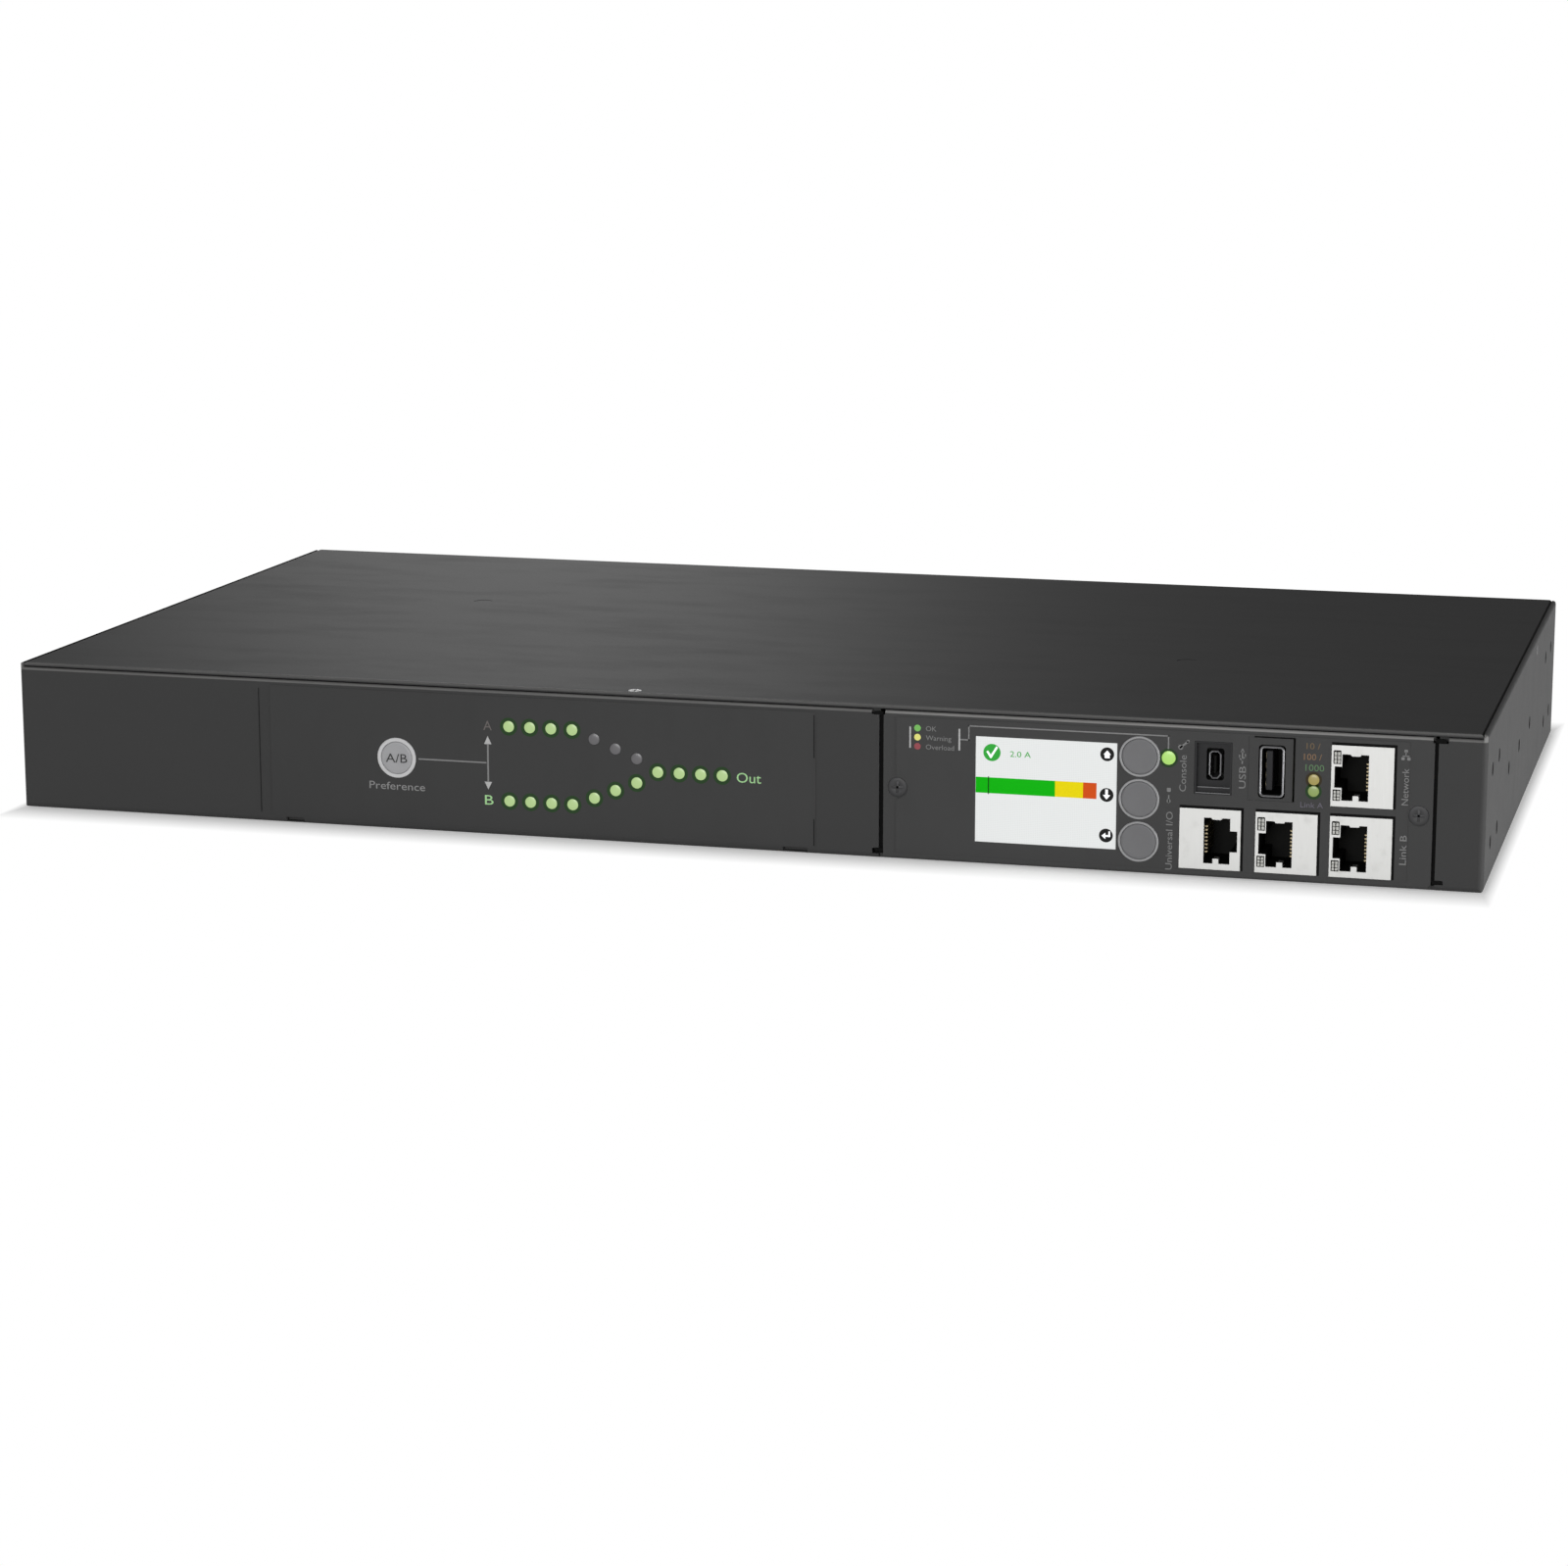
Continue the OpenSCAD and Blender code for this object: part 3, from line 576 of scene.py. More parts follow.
@dataclass(frozen=True)
class Halo(Finish):
    """Film round a lamp, tinted by light that leaks sideways; reads the ring's own map."""

    glow: Colour = (0.006, 0.034, 0.003)
    film: float = 0.027
    start: float = 0.66

    def sockets(self, g: Graph) -> Sockets:
        """The shader's values and links.

        Args:
            g: The material's graph, which gains the nodes.

        Returns:
            Values and links, by socket name.
        """
        fade = g.radius().ramp(self.start, 1.0)
        texture = g.noise(FILM_GRAIN, 2)
        return dict(
            Base_Color=g.blend(fade, tone(self.film * 0.4), tone(self.film)),
            Roughness=texture * 0.08 + 0.6,
            Specular_IOR_Level=0.15,
            Emission_Color=g.blend(fade, self.glow, tone(0.0)),
            Emission_Strength=1.0,
        )


@dataclass(frozen=True)
class LitPanel(Finish):
    """The display's white page, lit from behind a hard coat."""

    colour: Colour = (0.85, 0.87, 0.865)
    power: float = 0.6
    cell: float = 0.0005

    def sockets(self, g: Graph) -> Sockets:
        """The shader's values and links.

        Args:
            g: The material's graph, which gains the nodes.

        Returns:
            Values and links, by socket name.
        """
        x, _, z = g.axes()
        cells = x.wave(self.cell) * z.wave(self.cell)
        cloud = g.noise(0.02, 2)
        page = g.blend(cloud, self.colour, shade(self.colour, 0.96))
        return dict(
            Base_Color=g.blend(cells * 0.1 + 0.65, page, tone(0.02)),
            Roughness=cloud * 0.06 + 0.3,
            Emission_Color=page,
            Emission_Strength=self.power,
        )


class Coat(Enum):
    """Every finish used on the switch."""

    # These coats carry a painted highlight along the top edge, and the case and module ones along
    # the front bend too.
    CASE = PowderCoat("case_powder_coat", level=0.046, sheen=0.1, highlight_share=0.55, bend=42.3)
    COVER = PowderCoat("cover_powder_coat", level=0.045, sheen=0.1, highlight_share=0.25)
    MODULE = PowderCoat("module_powder_coat", level=0.052, sheen=0.1, highlight_share=1.0, bend=42.3)
    FILM = Film("diagram_film", level=0.0245)
    MODULE_FILM = Film("module_film", level=0.028)
    BLACK_OXIDE = PlatedMetal(
        "black_oxide_screw", (0.042, 0.042, 0.043), 0.5, tarnish=(0.065, 0.063, 0.058)
    )
    DULL_SCREW = PlatedMetal("dull_screw", (0.12, 0.12, 0.12), 0.4, tarnish=(0.07, 0.07, 0.07))
    ZINC = PlatedMetal("zinc_plate", (0.62, 0.63, 0.65), 0.38)
    BRASS = PlatedMetal("plain_brass", (0.62, 0.46, 0.2), 0.34, tarnish=(0.4, 0.27, 0.12))
    # Gold made much darker to stand for the shade in the jack and port cavities: painted shade.
    GOLD = PlatedMetal("contact_gold", (0.3, 0.25, 0.16), 0.4, tarnish=(0.2, 0.17, 0.11))
    COPPER = PlatedMetal("copper_strip", (0.7, 0.36, 0.2), 0.36, (30.0, 1.0, 1.0), (0.4, 0.18, 0.1))
    NICKEL = PlatedMetal("nickel_plate", (0.55, 0.55, 0.55), 0.3)
    PORT_STEEL = PlatedMetal("port_steel", (0.3, 0.3, 0.31), 0.4, tarnish=(0.16, 0.16, 0.16))
    SHIELD = PlatedMetal(
        "tin_plate_shield", (0.46, 0.46, 0.45), 0.5, (1.0, 1.0, 24.0), (0.4, 0.395, 0.38)
    )
    ALUMINIUM = PlatedMetal("extruded_aluminium", (0.66, 0.67, 0.68), 0.42, (1.0, 1.0, 24.0))
    INSULATOR = Moulded("fish_paper", (0.55, 0.5, 0.4), 0.75, 0.0009, 0.00002, 0.2)
    BOARD = SolderMask("board_lacquer")
    BOARD_BLACK = SolderMask("board_lacquer_black", (0.006, 0.008, 0.007))
    BLACK_PLASTIC = Moulded("black_moulding", (0.018, 0.018, 0.019), 0.48)
    SOCKET_PLASTIC = Moulded("socket_moulding", (0.022, 0.022, 0.023), 0.55)
    BEZEL_PLASTIC = Moulded("port_surround", (0.02, 0.02, 0.021), 0.6, gloss=0.2)
    INSERT_PLASTIC = Moulded("jack_body", (0.004, 0.004, 0.0035), 0.7, gloss=0.1)
    TONGUE = Moulded("port_tongue", (0.02, 0.02, 0.022), 0.6, gloss=0.2)
    # Black that stands for shade: painted shadow in gaps, notches, crescents and beside the jacks.
    GASKET = Moulded("black_gasket", (0.006, 0.006, 0.006), 0.85, 0.0006, 0.00002, 0.05)
    RELAY_PLASTIC = Moulded("relay_case", (0.02, 0.021, 0.024), 0.42)
    SENSOR = Moulded("sensor_varnish", (0.04, 0.07, 0.26), 0.3, 0.0012, 0.00004)
    CAP_YELLOW = Moulded("film_capacitor_case", (0.5, 0.28, 0.04), 0.35)
    CAN_SLEEVE = Moulded("capacitor_sleeve", (0.02, 0.03, 0.1), 0.3)
    DISC_BLUE = Moulded("varistor_dip", (0.03, 0.13, 0.4), 0.32, 0.001, 0.00003)
    CLAMP_GREEN = Moulded("terminal_moulding", (0.03, 0.17, 0.1), 0.5)
    FERRITE = Moulded("ferrite_core", (0.045, 0.04, 0.036), 0.6, 0.0006, 0.00003)
    HEADER = Moulded("header_moulding", (0.66, 0.6, 0.46), 0.5)
    RIBBON = Moulded("ribbon_sleeve", (0.3, 0.31, 0.33), 0.55)
    WIRE_GREEN = Moulded("earth_insulation", (0.05, 0.3, 0.05), 0.45)
    WIRE_BROWN = Moulded("mains_insulation", (0.12, 0.05, 0.025), 0.45)
    WIRE_RED = Moulded("lead_insulation", (0.4, 0.03, 0.03), 0.45)
    RING = Moulded("pale_ring", (0.56, 0.56, 0.565), 0.45)
    RING_GREY = Moulded("grey_ring", (0.27, 0.27, 0.275), 0.45)
    CAP_LIGHT = Moulded("selector_cap", (0.33, 0.33, 0.34), 0.45, 0.0005, 0.000012)
    CAP_GREY = Moulded("key_cap", (0.145, 0.145, 0.15), 0.55, 0.0005, 0.000012, 0.3)
    RESET = Moulded("reset_cap", (0.012, 0.012, 0.012), 0.3)
    LAMP_ON = Lamp("lamp_lit", (0.45, 0.64, 0.26), (0.18, 0.31, 0.08), 0.62)
    LAMP_STATUS = Lamp("lamp_status", (0.42, 0.75, 0.15), (0.12, 0.34, 0.03), 0.64)
    # The unlit lamps get a faint glow, brightest at the middle: painted light.
    LAMP_OFF = Lamp("lamp_dark", (0.14, 0.135, 0.143), (0.06, 0.058, 0.062), 0.35)
    LAMP_YELLOW = Lamp("lamp_amber", (0.38, 0.31, 0.07), (0.2, 0.14, 0.02), 0.55)
    LAMP_NET = Lamp("lamp_network", (0.26, 0.37, 0.09), (0.08, 0.17, 0.02), 0.55)
    HALO_GREEN = Halo("halo_green")
    HALO_AMBER = Halo("halo_amber", (0.022, 0.014, 0.001))
    LINK_WINDOW = Moulded("link_window", (0.5, 0.5, 0.47), 0.35)
    INK_PALE = Ink("ink_pale", (0.5, 0.5, 0.5))
    INK_LINE = Ink("ink_line", (0.24, 0.24, 0.24))
    INK_WORD = Ink("ink_word", (0.28, 0.28, 0.28))
    INK_GREY = Ink("ink_grey", (0.22, 0.22, 0.22))
    INK_BLACK = Ink("ink_black", (0.006, 0.006, 0.006))
    INK_DIM = Ink("ink_dim", (0.15, 0.135, 0.13))
    # This green legend ink glows a little: painted light on print.
    INK_GREEN = Ink("ink_green", (0.16, 0.42, 0.1), 0.3)
    INK_MINT = Ink("ink_mint", (0.24, 0.42, 0.2), 0.6)
    # This yellow legend ink glows a little: painted light on print.
    INK_YELLOW = Ink("ink_yellow", (0.72, 0.7, 0.2), 0.2)
    INK_RED = Ink("ink_red", (0.34, 0.085, 0.1))
    INK_AMBER = Ink("ink_amber", (0.17, 0.12, 0.07))
    INK_TAN = Ink("ink_tan", (0.24, 0.15, 0.09))
    INK_TEAL = Ink("ink_teal", (0.12, 0.22, 0.11))
    INK_VIOLET = Ink("ink_violet", (0.14, 0.13, 0.16))
    INK_DARK = Ink("ink_dark", (0.06, 0.06, 0.06))
    PAGE = LitPanel("display_page")
    PAGE_GREEN = Ink("page_green", (0.0, 0.39, 0.0), 0.3)
    PAGE_DEEP = Ink("page_deep", (0.0, 0.07, 0.0))
    PAGE_CHECK = Ink("page_check", (0.03, 0.34, 0.04), 0.3)
    PAGE_YELLOW = Ink("page_yellow", (0.75, 0.62, 0.0), 0.25)
    PAGE_RED = Ink("page_red", (0.58, 0.07, 0.006), 0.25)
    PAGE_BLACK = Ink("page_black", (0.01, 0.01, 0.01))
    PAGE_WHITE = Ink("page_white", (0.85, 0.86, 0.88), 0.5)


_MATERIALS: dict[Coat, bpy.types.Material] = {}


def coat(piece: bpy.types.Object, finish: Coat) -> None:
    """Lays a finish on every material slot of a piece, building it at first use.

    Args:
        piece: The piece.
        finish: Its finish.
    """
    if finish not in _MATERIALS:
        _MATERIALS[finish] = finish.value.build()
    material = _MATERIALS[finish]
    if not piece.material_slots:
        piece.data.materials.append(material)
    for slot in piece.material_slots:
        slot.material = material


# --- places and pieces -----------------------------------------------------------------


@dataclass(frozen=True)
class Panel:
    """Sizes in millimetres from the case's left, front and lower faces."""

    corner: Vector = field(default_factory=lambda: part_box("chassis")[0])

    def at(self, x: float, y: float, z: float) -> Vector:
        """The point in metres in the object's own frame."""
        return self.corner + Vector((x, y, z)) * MM


PANEL = Panel()
PRINT: Point = (-0.225, -0.2)  # front and back of every flat print
GLOW_FRONT = -0.213  # front of the tinted rings round the lamps
MERGE_MM = 1e-5  # points closer than this are one
ROUND_BELOW = 0.6  # edges bent less than this, in radians, are shaded round
CAPITAL = 0.729  # height of a capital in the built-in lettering of size 1


class Piece:
    """One mesh under construction, in millimetres on the panel.

    A flat print has PRINT as its front and back unless it is given others.
    """

    def __init__(self, name: str) -> None:
        """Starts an empty mesh."""
        self.name = name
        self.bm = bmesh.new()

    def block(
        self, x: Point, y: Point, z: Point, bevel: float = 0.0, segments: int = 2
    ) -> "Piece":
        """Adds a block between two corners, with its edges bevelled if asked.

        Args:
            x: Its left and right.
            y: Its front and back.
            z: Its bottom and top.
            bevel: Width of its bevels, or 0 for none.
            segments: Faces across a bevel.

        Returns:
            The piece.
        """
        size = Vector((x[1] - x[0], y[1] - y[0], z[1] - z[0]))
        middle = Vector((x[0] + x[1], y[0] + y[1], z[0] + z[1])) / 2
        made = bmesh.ops.create_cube(
            self.bm, size=1.0, matrix=Matrix.Translation(middle) @ Matrix.Diagonal((*size, 1.0))
        )
        if bevel > 0:
            edges = list({e for v in made["verts"] for e in v.link_edges})
            bmesh.ops.bevel(
                self.bm, geom=edges, offset=bevel, segments=segments,
                affect="EDGES", profile=0.5, material=-1,
            )
        return self

    def thicken(self, faces: list[bmesh.types.BMFace], move: Triple) -> "Piece":
        """Extrudes faces by a move.

        Args:
            faces: The faces.
            move: How far the new end lies from them.

        Returns:
            The piece.
        """
        made = bmesh.ops.extrude_face_region(self.bm, geom=faces)
        moved = [g for g in made["geom"] if isinstance(g, bmesh.types.BMVert)]
        bmesh.ops.translate(self.bm, vec=move, verts=moved)
        return self

    def outline(self, points: Iterable[Point], y: Point = PRINT) -> "Piece":
        """Adds a flat x-z outline, extruded from y[0] back to y[1]."""
        verts = [self.bm.verts.new((px, y[0], pz)) for px, pz in points]
        return self.thicken([self.bm.faces.new(verts)], (0, y[1] - y[0], 0))

    def plate(self, x: Point, z: Point, y: Point = PRINT) -> "Piece":
        """Adds a flat rectangle."""
        return self.outline([(x[0], z[0]), (x[1], z[0]), (x[1], z[1]), (x[0], z[1])], y)

    def strip(
        self, left: Sequence[Point], right: Sequence[Point], z: float, depth: float
    ) -> "Piece":
        """Adds a level strip between two x-y rails, with its thickness below z.

        Args:
            left: Points along one rail.
            right: As many points along the other.
            z: Height of the upper face.
            depth: Thickness.

        Returns:
            The piece.
        """
        new = self.bm.verts.new
        rows = [(new((*a, z)), new((*b, z))) for a, b in zip(left, right)]
        faces = [self.bm.faces.new((p, q, t, r)) for (p, q), (r, t) in zip(rows, rows[1:])]
        return self.thicken(faces, (0, 0, -depth))

    def disc(
        self, x: float, z: float, radius: float, y: Point = PRINT, sides: int = 40
    ) -> "Piece":
        """Adds a round disc.

        Args:
            x: Its centre across the panel.
            z: Its centre up the panel.
            radius: Its radius.
            y: Its front and back.
            sides: Sides of its rim.

        Returns:
            The piece.
        """
        angles = [i * (2 * math.pi / sides) for i in range(sides)]
        return self.outline(
            [(x + radius * math.cos(a), z + radius * math.sin(a)) for a in angles], y
        )

    def line(self, points: Sequence[Point], width: float, y: Point = PRINT) -> "Piece":
        """Adds a printed line of the given width along level, upright or sloping runs.

        Args:
            points: Its corners.
            width: Its width.
            y: Front and back of the ink.

        Returns:
            The piece.
        """
        for (xa, za), (xb, zb) in zip(points, points[1:]):
            run = Vector((xb - xa, zb - za)).normalized() * (width / 2)
            side = Vector((-run.y, run.x))
            a, b = Vector((xa, za)) - run, Vector((xb, zb)) + run
            self.outline([tuple(a + side), tuple(a - side), tuple(b - side), tuple(b + side)], y)
        return self

    def revolve(
        self, x: float, z: float, profile: Sequence[Point], steps: int = 48, mapped: bool = False
    ) -> "Piece":
        """Spins a profile of (radius, y) about a line that runs front to back.

        Args:
            x: Place of the axis across the panel.
            z: Place of the axis up the panel.
            profile: Points from the axis or inner wall round to its other end.
            steps: Faces round the axis.
            mapped: Writes each point's share of the full radius to the piece's UV map.

        Returns:
            The piece.
        """
        before = set(self.bm.faces)
        chain = [self.bm.verts.new((x + r, y, z)) for r, y in profile]
        edges = [self.bm.edges.new(pair) for pair in zip(chain, chain[1:])]
        bmesh.ops.spin(
            self.bm, geom=chain + edges, cent=(x, 0, z), axis=(0, 1, 0),
            angle=2 * math.pi, steps=steps, use_merge=True, use_duplicate=False,
        )
        if mapped:
            layer = self.bm.loops.layers.uv.verify()
            full = max(r for r, _ in profile)
            for face in set(self.bm.faces) - before:
                for loop in face.loops:
                    far = math.hypot(loop.vert.co.x - x, loop.vert.co.z - z)
                    loop[layer].uv = (far / full, 0.5)
        return self

    def halo(self, x: float, z: float, inner: float, outer: float) -> "Piece":
        """Adds a thin mapped ring on the film between two radii.

        Args:
            x: Its centre across the panel.
            z: Its centre up the panel.
            inner: Its inner radius.
            outer: Its outer radius.

        Returns:
            The piece.
        """
        back = PRINT[1]
        section = [(inner, back), (inner, GLOW_FRONT), (outer, GLOW_FRONT), (outer, back)]
        return self.revolve(x, z, section, 32, mapped=True)

    def tube(
        self, outer: Sequence[Point], inner: Sequence[Point], y: Point, lip: float
    ) -> "Piece":
        """Adds a wall between two flat outlines that have as many points each.

        Args:
            outer: Outer outline, in x and z.
            inner: Inner outline, from the same corner.
            y: Front and back of the wall.
            lip: How much its front edge is rolled over.

        Returns:
            The piece.
        """
        front, back = y
        middle = [((a[0] + b[0]) / 2, (a[1] + b[1]) / 2) for a, b in zip(outer, inner)]
        rolled = front + lip
        section = ((outer, back), (outer, rolled), (middle, front), (inner, rolled), (inner, back))
        rings = [
            [self.bm.verts.new((px, depth, pz)) for px, pz in points] for points, depth in section
        ]
        for one, two in zip(rings, rings[1:] + rings[:1]):
            for i, vert in enumerate(one):
                j = (i + 1) % len(one)
                self.bm.faces.new((vert, one[j], two[j], two[i]))
        return self

    def text(
        self, words: str, x: float, z: float, height: float, width: float,
        y: Point = PRINT, turned: bool = False,
    ) -> "Piece":
        """Adds lettering that faces the front.

        Args:
            words: What it says.
            x: Centre across the panel.
            z: Centre up the panel.
            height: Height of a capital letter.
            width: Length of the whole word.
            y: Front and back of the ink.
            turned: Whether it reads upwards.

        Returns:
            The piece.
        """
        curve = bpy.data.curves.new("words", "FONT")
        curve.body = words
        curve.size = 1.0
        curve.resolution_u = 3
        curve.extrude = 0.5
        holder = bpy.data.objects.new("words", curve)
        bpy.context.scene.collection.objects.link(holder)
        view = bpy.context.evaluated_depsgraph_get()
        mesh = bpy.data.meshes.new_from_object(holder.evaluated_get(view))
        xs = [v.co.x for v in mesh.vertices]
        size = (width / (max(xs) - min(xs)), height / CAPITAL, abs(y[1] - y[0]), 1.0)
        middle = Vector(((max(xs) + min(xs)) / 2, CAPITAL / 2, 0))
        mesh.transform(
            Matrix.Translation((x, (y[0] + y[1]) / 2, z))
            @ Matrix.Rotation(math.pi / 2, 4, "X")
            @ Matrix.Rotation(math.pi / 2 if turned else 0.0, 4, "Z")
            @ Matrix.Diagonal(size)
            @ Matrix.Translation(-middle)
        )
        self.bm.from_mesh(mesh)
        bpy.data.objects.remove(holder)
        bpy.data.curves.remove(curve)
        bpy.data.meshes.remove(mesh)
        return self

    def finish(
        self, finish: Coat, slot: str, body: str = "case", stands_for: str | None = None,
        smooth: bool = False,
    ) -> bpy.types.Object:
        """Turns the mesh into an object that rides on a body.

        Args:
            finish: Its finish.
            slot: Not used.
            body: The body that carries it.
            stands_for: A solid it replaces, if any.
            smooth: Whether shallow angles are shaded round.

        Returns:
            The object.
        """
        bmesh.ops.remove_doubles(self.bm, verts=self.bm.verts[:], dist=MERGE_MM)
        bmesh.ops.recalc_face_normals(self.bm, faces=self.bm.faces[:])
        for vert in self.bm.verts:
            vert.co = PANEL.at(*vert.co)
        if smooth:
            for face in self.bm.faces:
                face.smooth = True
            for edge in self.bm.edges:
                closed = len(edge.link_faces) == 2
                edge.smooth = closed and edge.calc_face_angle(0.0) < ROUND_BELOW
        mesh = bpy.data.meshes.new(self.name)
        self.bm.to_mesh(mesh)
        self.bm.free()
        made = bpy.data.objects.new(self.name, mesh)
        bpy.context.scene.collection.objects.link(made)
        coat(made, finish)
        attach(made, body)
        if stands_for:
            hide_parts(stands_for)
        LOG.info("%s: %d faces on %s", self.name, len(mesh.polygons), body)
        return made


def rounded(x: Point, z: Point, radius: float, steps: int = 5) -> list[Point]:
    """Outline of a rectangle with round corners.

    Args:
        x: Its left and right.
        z: Its bottom and top.
        radius: Corner radius.
        steps: Sides of each corner.

    Returns:
        Points from the lower right corner round.
    """
    points = []
    for cx, cz, start in (
        (x[1] - radius, z[0] + radius, -90),
        (x[1] - radius, z[1] - radius, 0),
        (x[0] + radius, z[1] - radius, 90),
        (x[0] + radius, z[0] + radius, 180),
    ):
        for i in range(steps + 1):
            angle = math.radians(start + 90 * i / steps)
            points.append((cx + radius * math.cos(angle), cz + radius * math.sin(angle)))
    return points


def arc(
    centre: Point, radius: float, middle: float, spread: float, steps: int = 16
) -> list[Point]:
    """Points along an arc.

    Args:
        centre: The circle's centre.
        radius: Its radius.
        middle: Angle of the arc's middle, in degrees.
        spread: Angle from its middle to either end, in degrees.
        steps: Sides of the arc.

    Returns:
        The points, from the least angle to the greatest.
    """
    angles = [math.radians(middle + spread * (2 * i / steps - 1)) for i in range(steps + 1)]
    return [(centre[0] + radius * math.cos(a), centre[1] + radius * math.sin(a)) for a in angles]


def lens_profile(radius: float, dome: Triple, back: float) -> list[Point]:
    """Half-section of a domed lens on its light guide.

    Args:
        radius: The guide's radius.
        dome: The front's y at the middle, part way out and near the rim.
        back: The guide's back end.

    Returns:
        Points of radius and y.
    """
    centre, slope, shoulder = dome
    return [(0, centre), (radius * 0.45, slope), (radius * 0.8, shoulder), (radius, PRINT[1]),
            (radius, back), (0, back)]


def ring_profile(outer: float, inner: float) -> list[Point]:
    """Closed half-section of a rolled ring that stands on the film.

    Args:
        outer: Its outer radius.
        inner: Its inner radius.

    Returns:
        Points of radius and y.
    """
    front, shoulder, roll, back = -0.42, -0.3, 0.12, 1.2
    return [(inner, back), (inner, shoulder), (inner + roll, front), (outer - roll, front),
            (outer, shoulder), (outer, back), (inner, back)]


def button_profile(ring_r: float) -> list[Point]:
    """Half-section of a dished button cap and its stem, inside a ring's outer radius.

    Args:
        ring_r: The ring's outer radius.

    Returns:
        Points of radius and y.
    """
    r, stem = ring_r - 0.72, 1.6
    flange, behind, tip = 1.25, 2.2, 5.6
    return [(0, -0.38), (r - 1.4, -0.39), (r - 0.5, -0.45), (r - 0.18, -0.42), (r - 0.03, -0.3),
            (r, -0.1), (r, flange), (r + 0.32, flange), (r + 0.32, behind), (stem, behind),
            (stem, tip), (0, tip)]


def dress(coats: Mapping[Coat, Sequence[str]]) -> None:
    """Lays finishes on the solids that come from the frame.

    Args:
        coats: The nodes that take each finish.
    """
    for finish, nodes in coats.items():
        for node in nodes:
            coat(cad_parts[node], finish)
            LOG.info("%s: %s", node, finish.name.lower())


# --- sub-assemblies --------------------------------------------------------------------


@dataclass
class Case:
    """Folded case, its cover and their fasteners."""

    gap_xs: tuple[Point, ...] = ((263.16, 264.34), (417.86, 418.79))
    gap_y: Point = (0.75, 1.15)
    gap_z: Point = (1.6, 41.0)
    notches: tuple[tuple[Point, Point], ...] = (
        ((261.6, 264.3), (41.2, 42.2)),
        ((261.9, 264.3), (2.0, 3.0)),
        ((417.9, 420.9), (41.2, 42.2)),
        ((418.0, 420.9), (2.0, 3.0)),
    )
    notch_y: Point = (-0.04, 0.3)
    crescents: tuple[Point, ...] = ((95.7, 142.5), (334.6, 92.5))
    crescent_z: float = 43.98
    crescent_depth: float = 0.3

    def build_gap_shadows(self) -> None:
        """Black strips in the module's side gaps and black blocks in the notches at their ends:
        painted shade where the gaps and notches lie in shadow.
        """
        gap_shadows = Piece("gap_gasket")
        for x in self.gap_xs:
            gap_shadows.block(x, self.gap_y, self.gap_z, 0.1)
        for x, z in self.notches:
            gap_shadows.block(x, self.notch_y, z, 0.03, 1)
        gap_shadows.finish(Coat.GASKET, "bezel_black")

    def build_crescent_shadows(self) -> None:
        """Black fillings of the two crescents pressed into the lid: painted shade in their hollows.
        """
        marks = Piece("cover_crescents")
        for x, y in self.crescents:
            outer = arc((x, y), 3.0, 114, 91)
            inner = arc((x + 0.4, y - 0.9), 3.1, 114, 74)
            marks.strip(outer, inner, self.crescent_z, self.crescent_depth)
        marks.finish(Coat.GASKET, "bezel_black")

    def build(self) -> None:
        """Builds the painted shadows in the case's gaps, notches and crescents, and dresses the
        sheet metal.
        """
        self.build_gap_shadows()
        self.build_crescent_shadows()
        dress({
            Coat.CASE: ["chassis"],
            Coat.COVER: ["cover"],
            Coat.DULL_SCREW: ["cover_screws"],
            Coat.ZINC: ["clinch_nuts", "earth_stud", "board_screws"],
        })


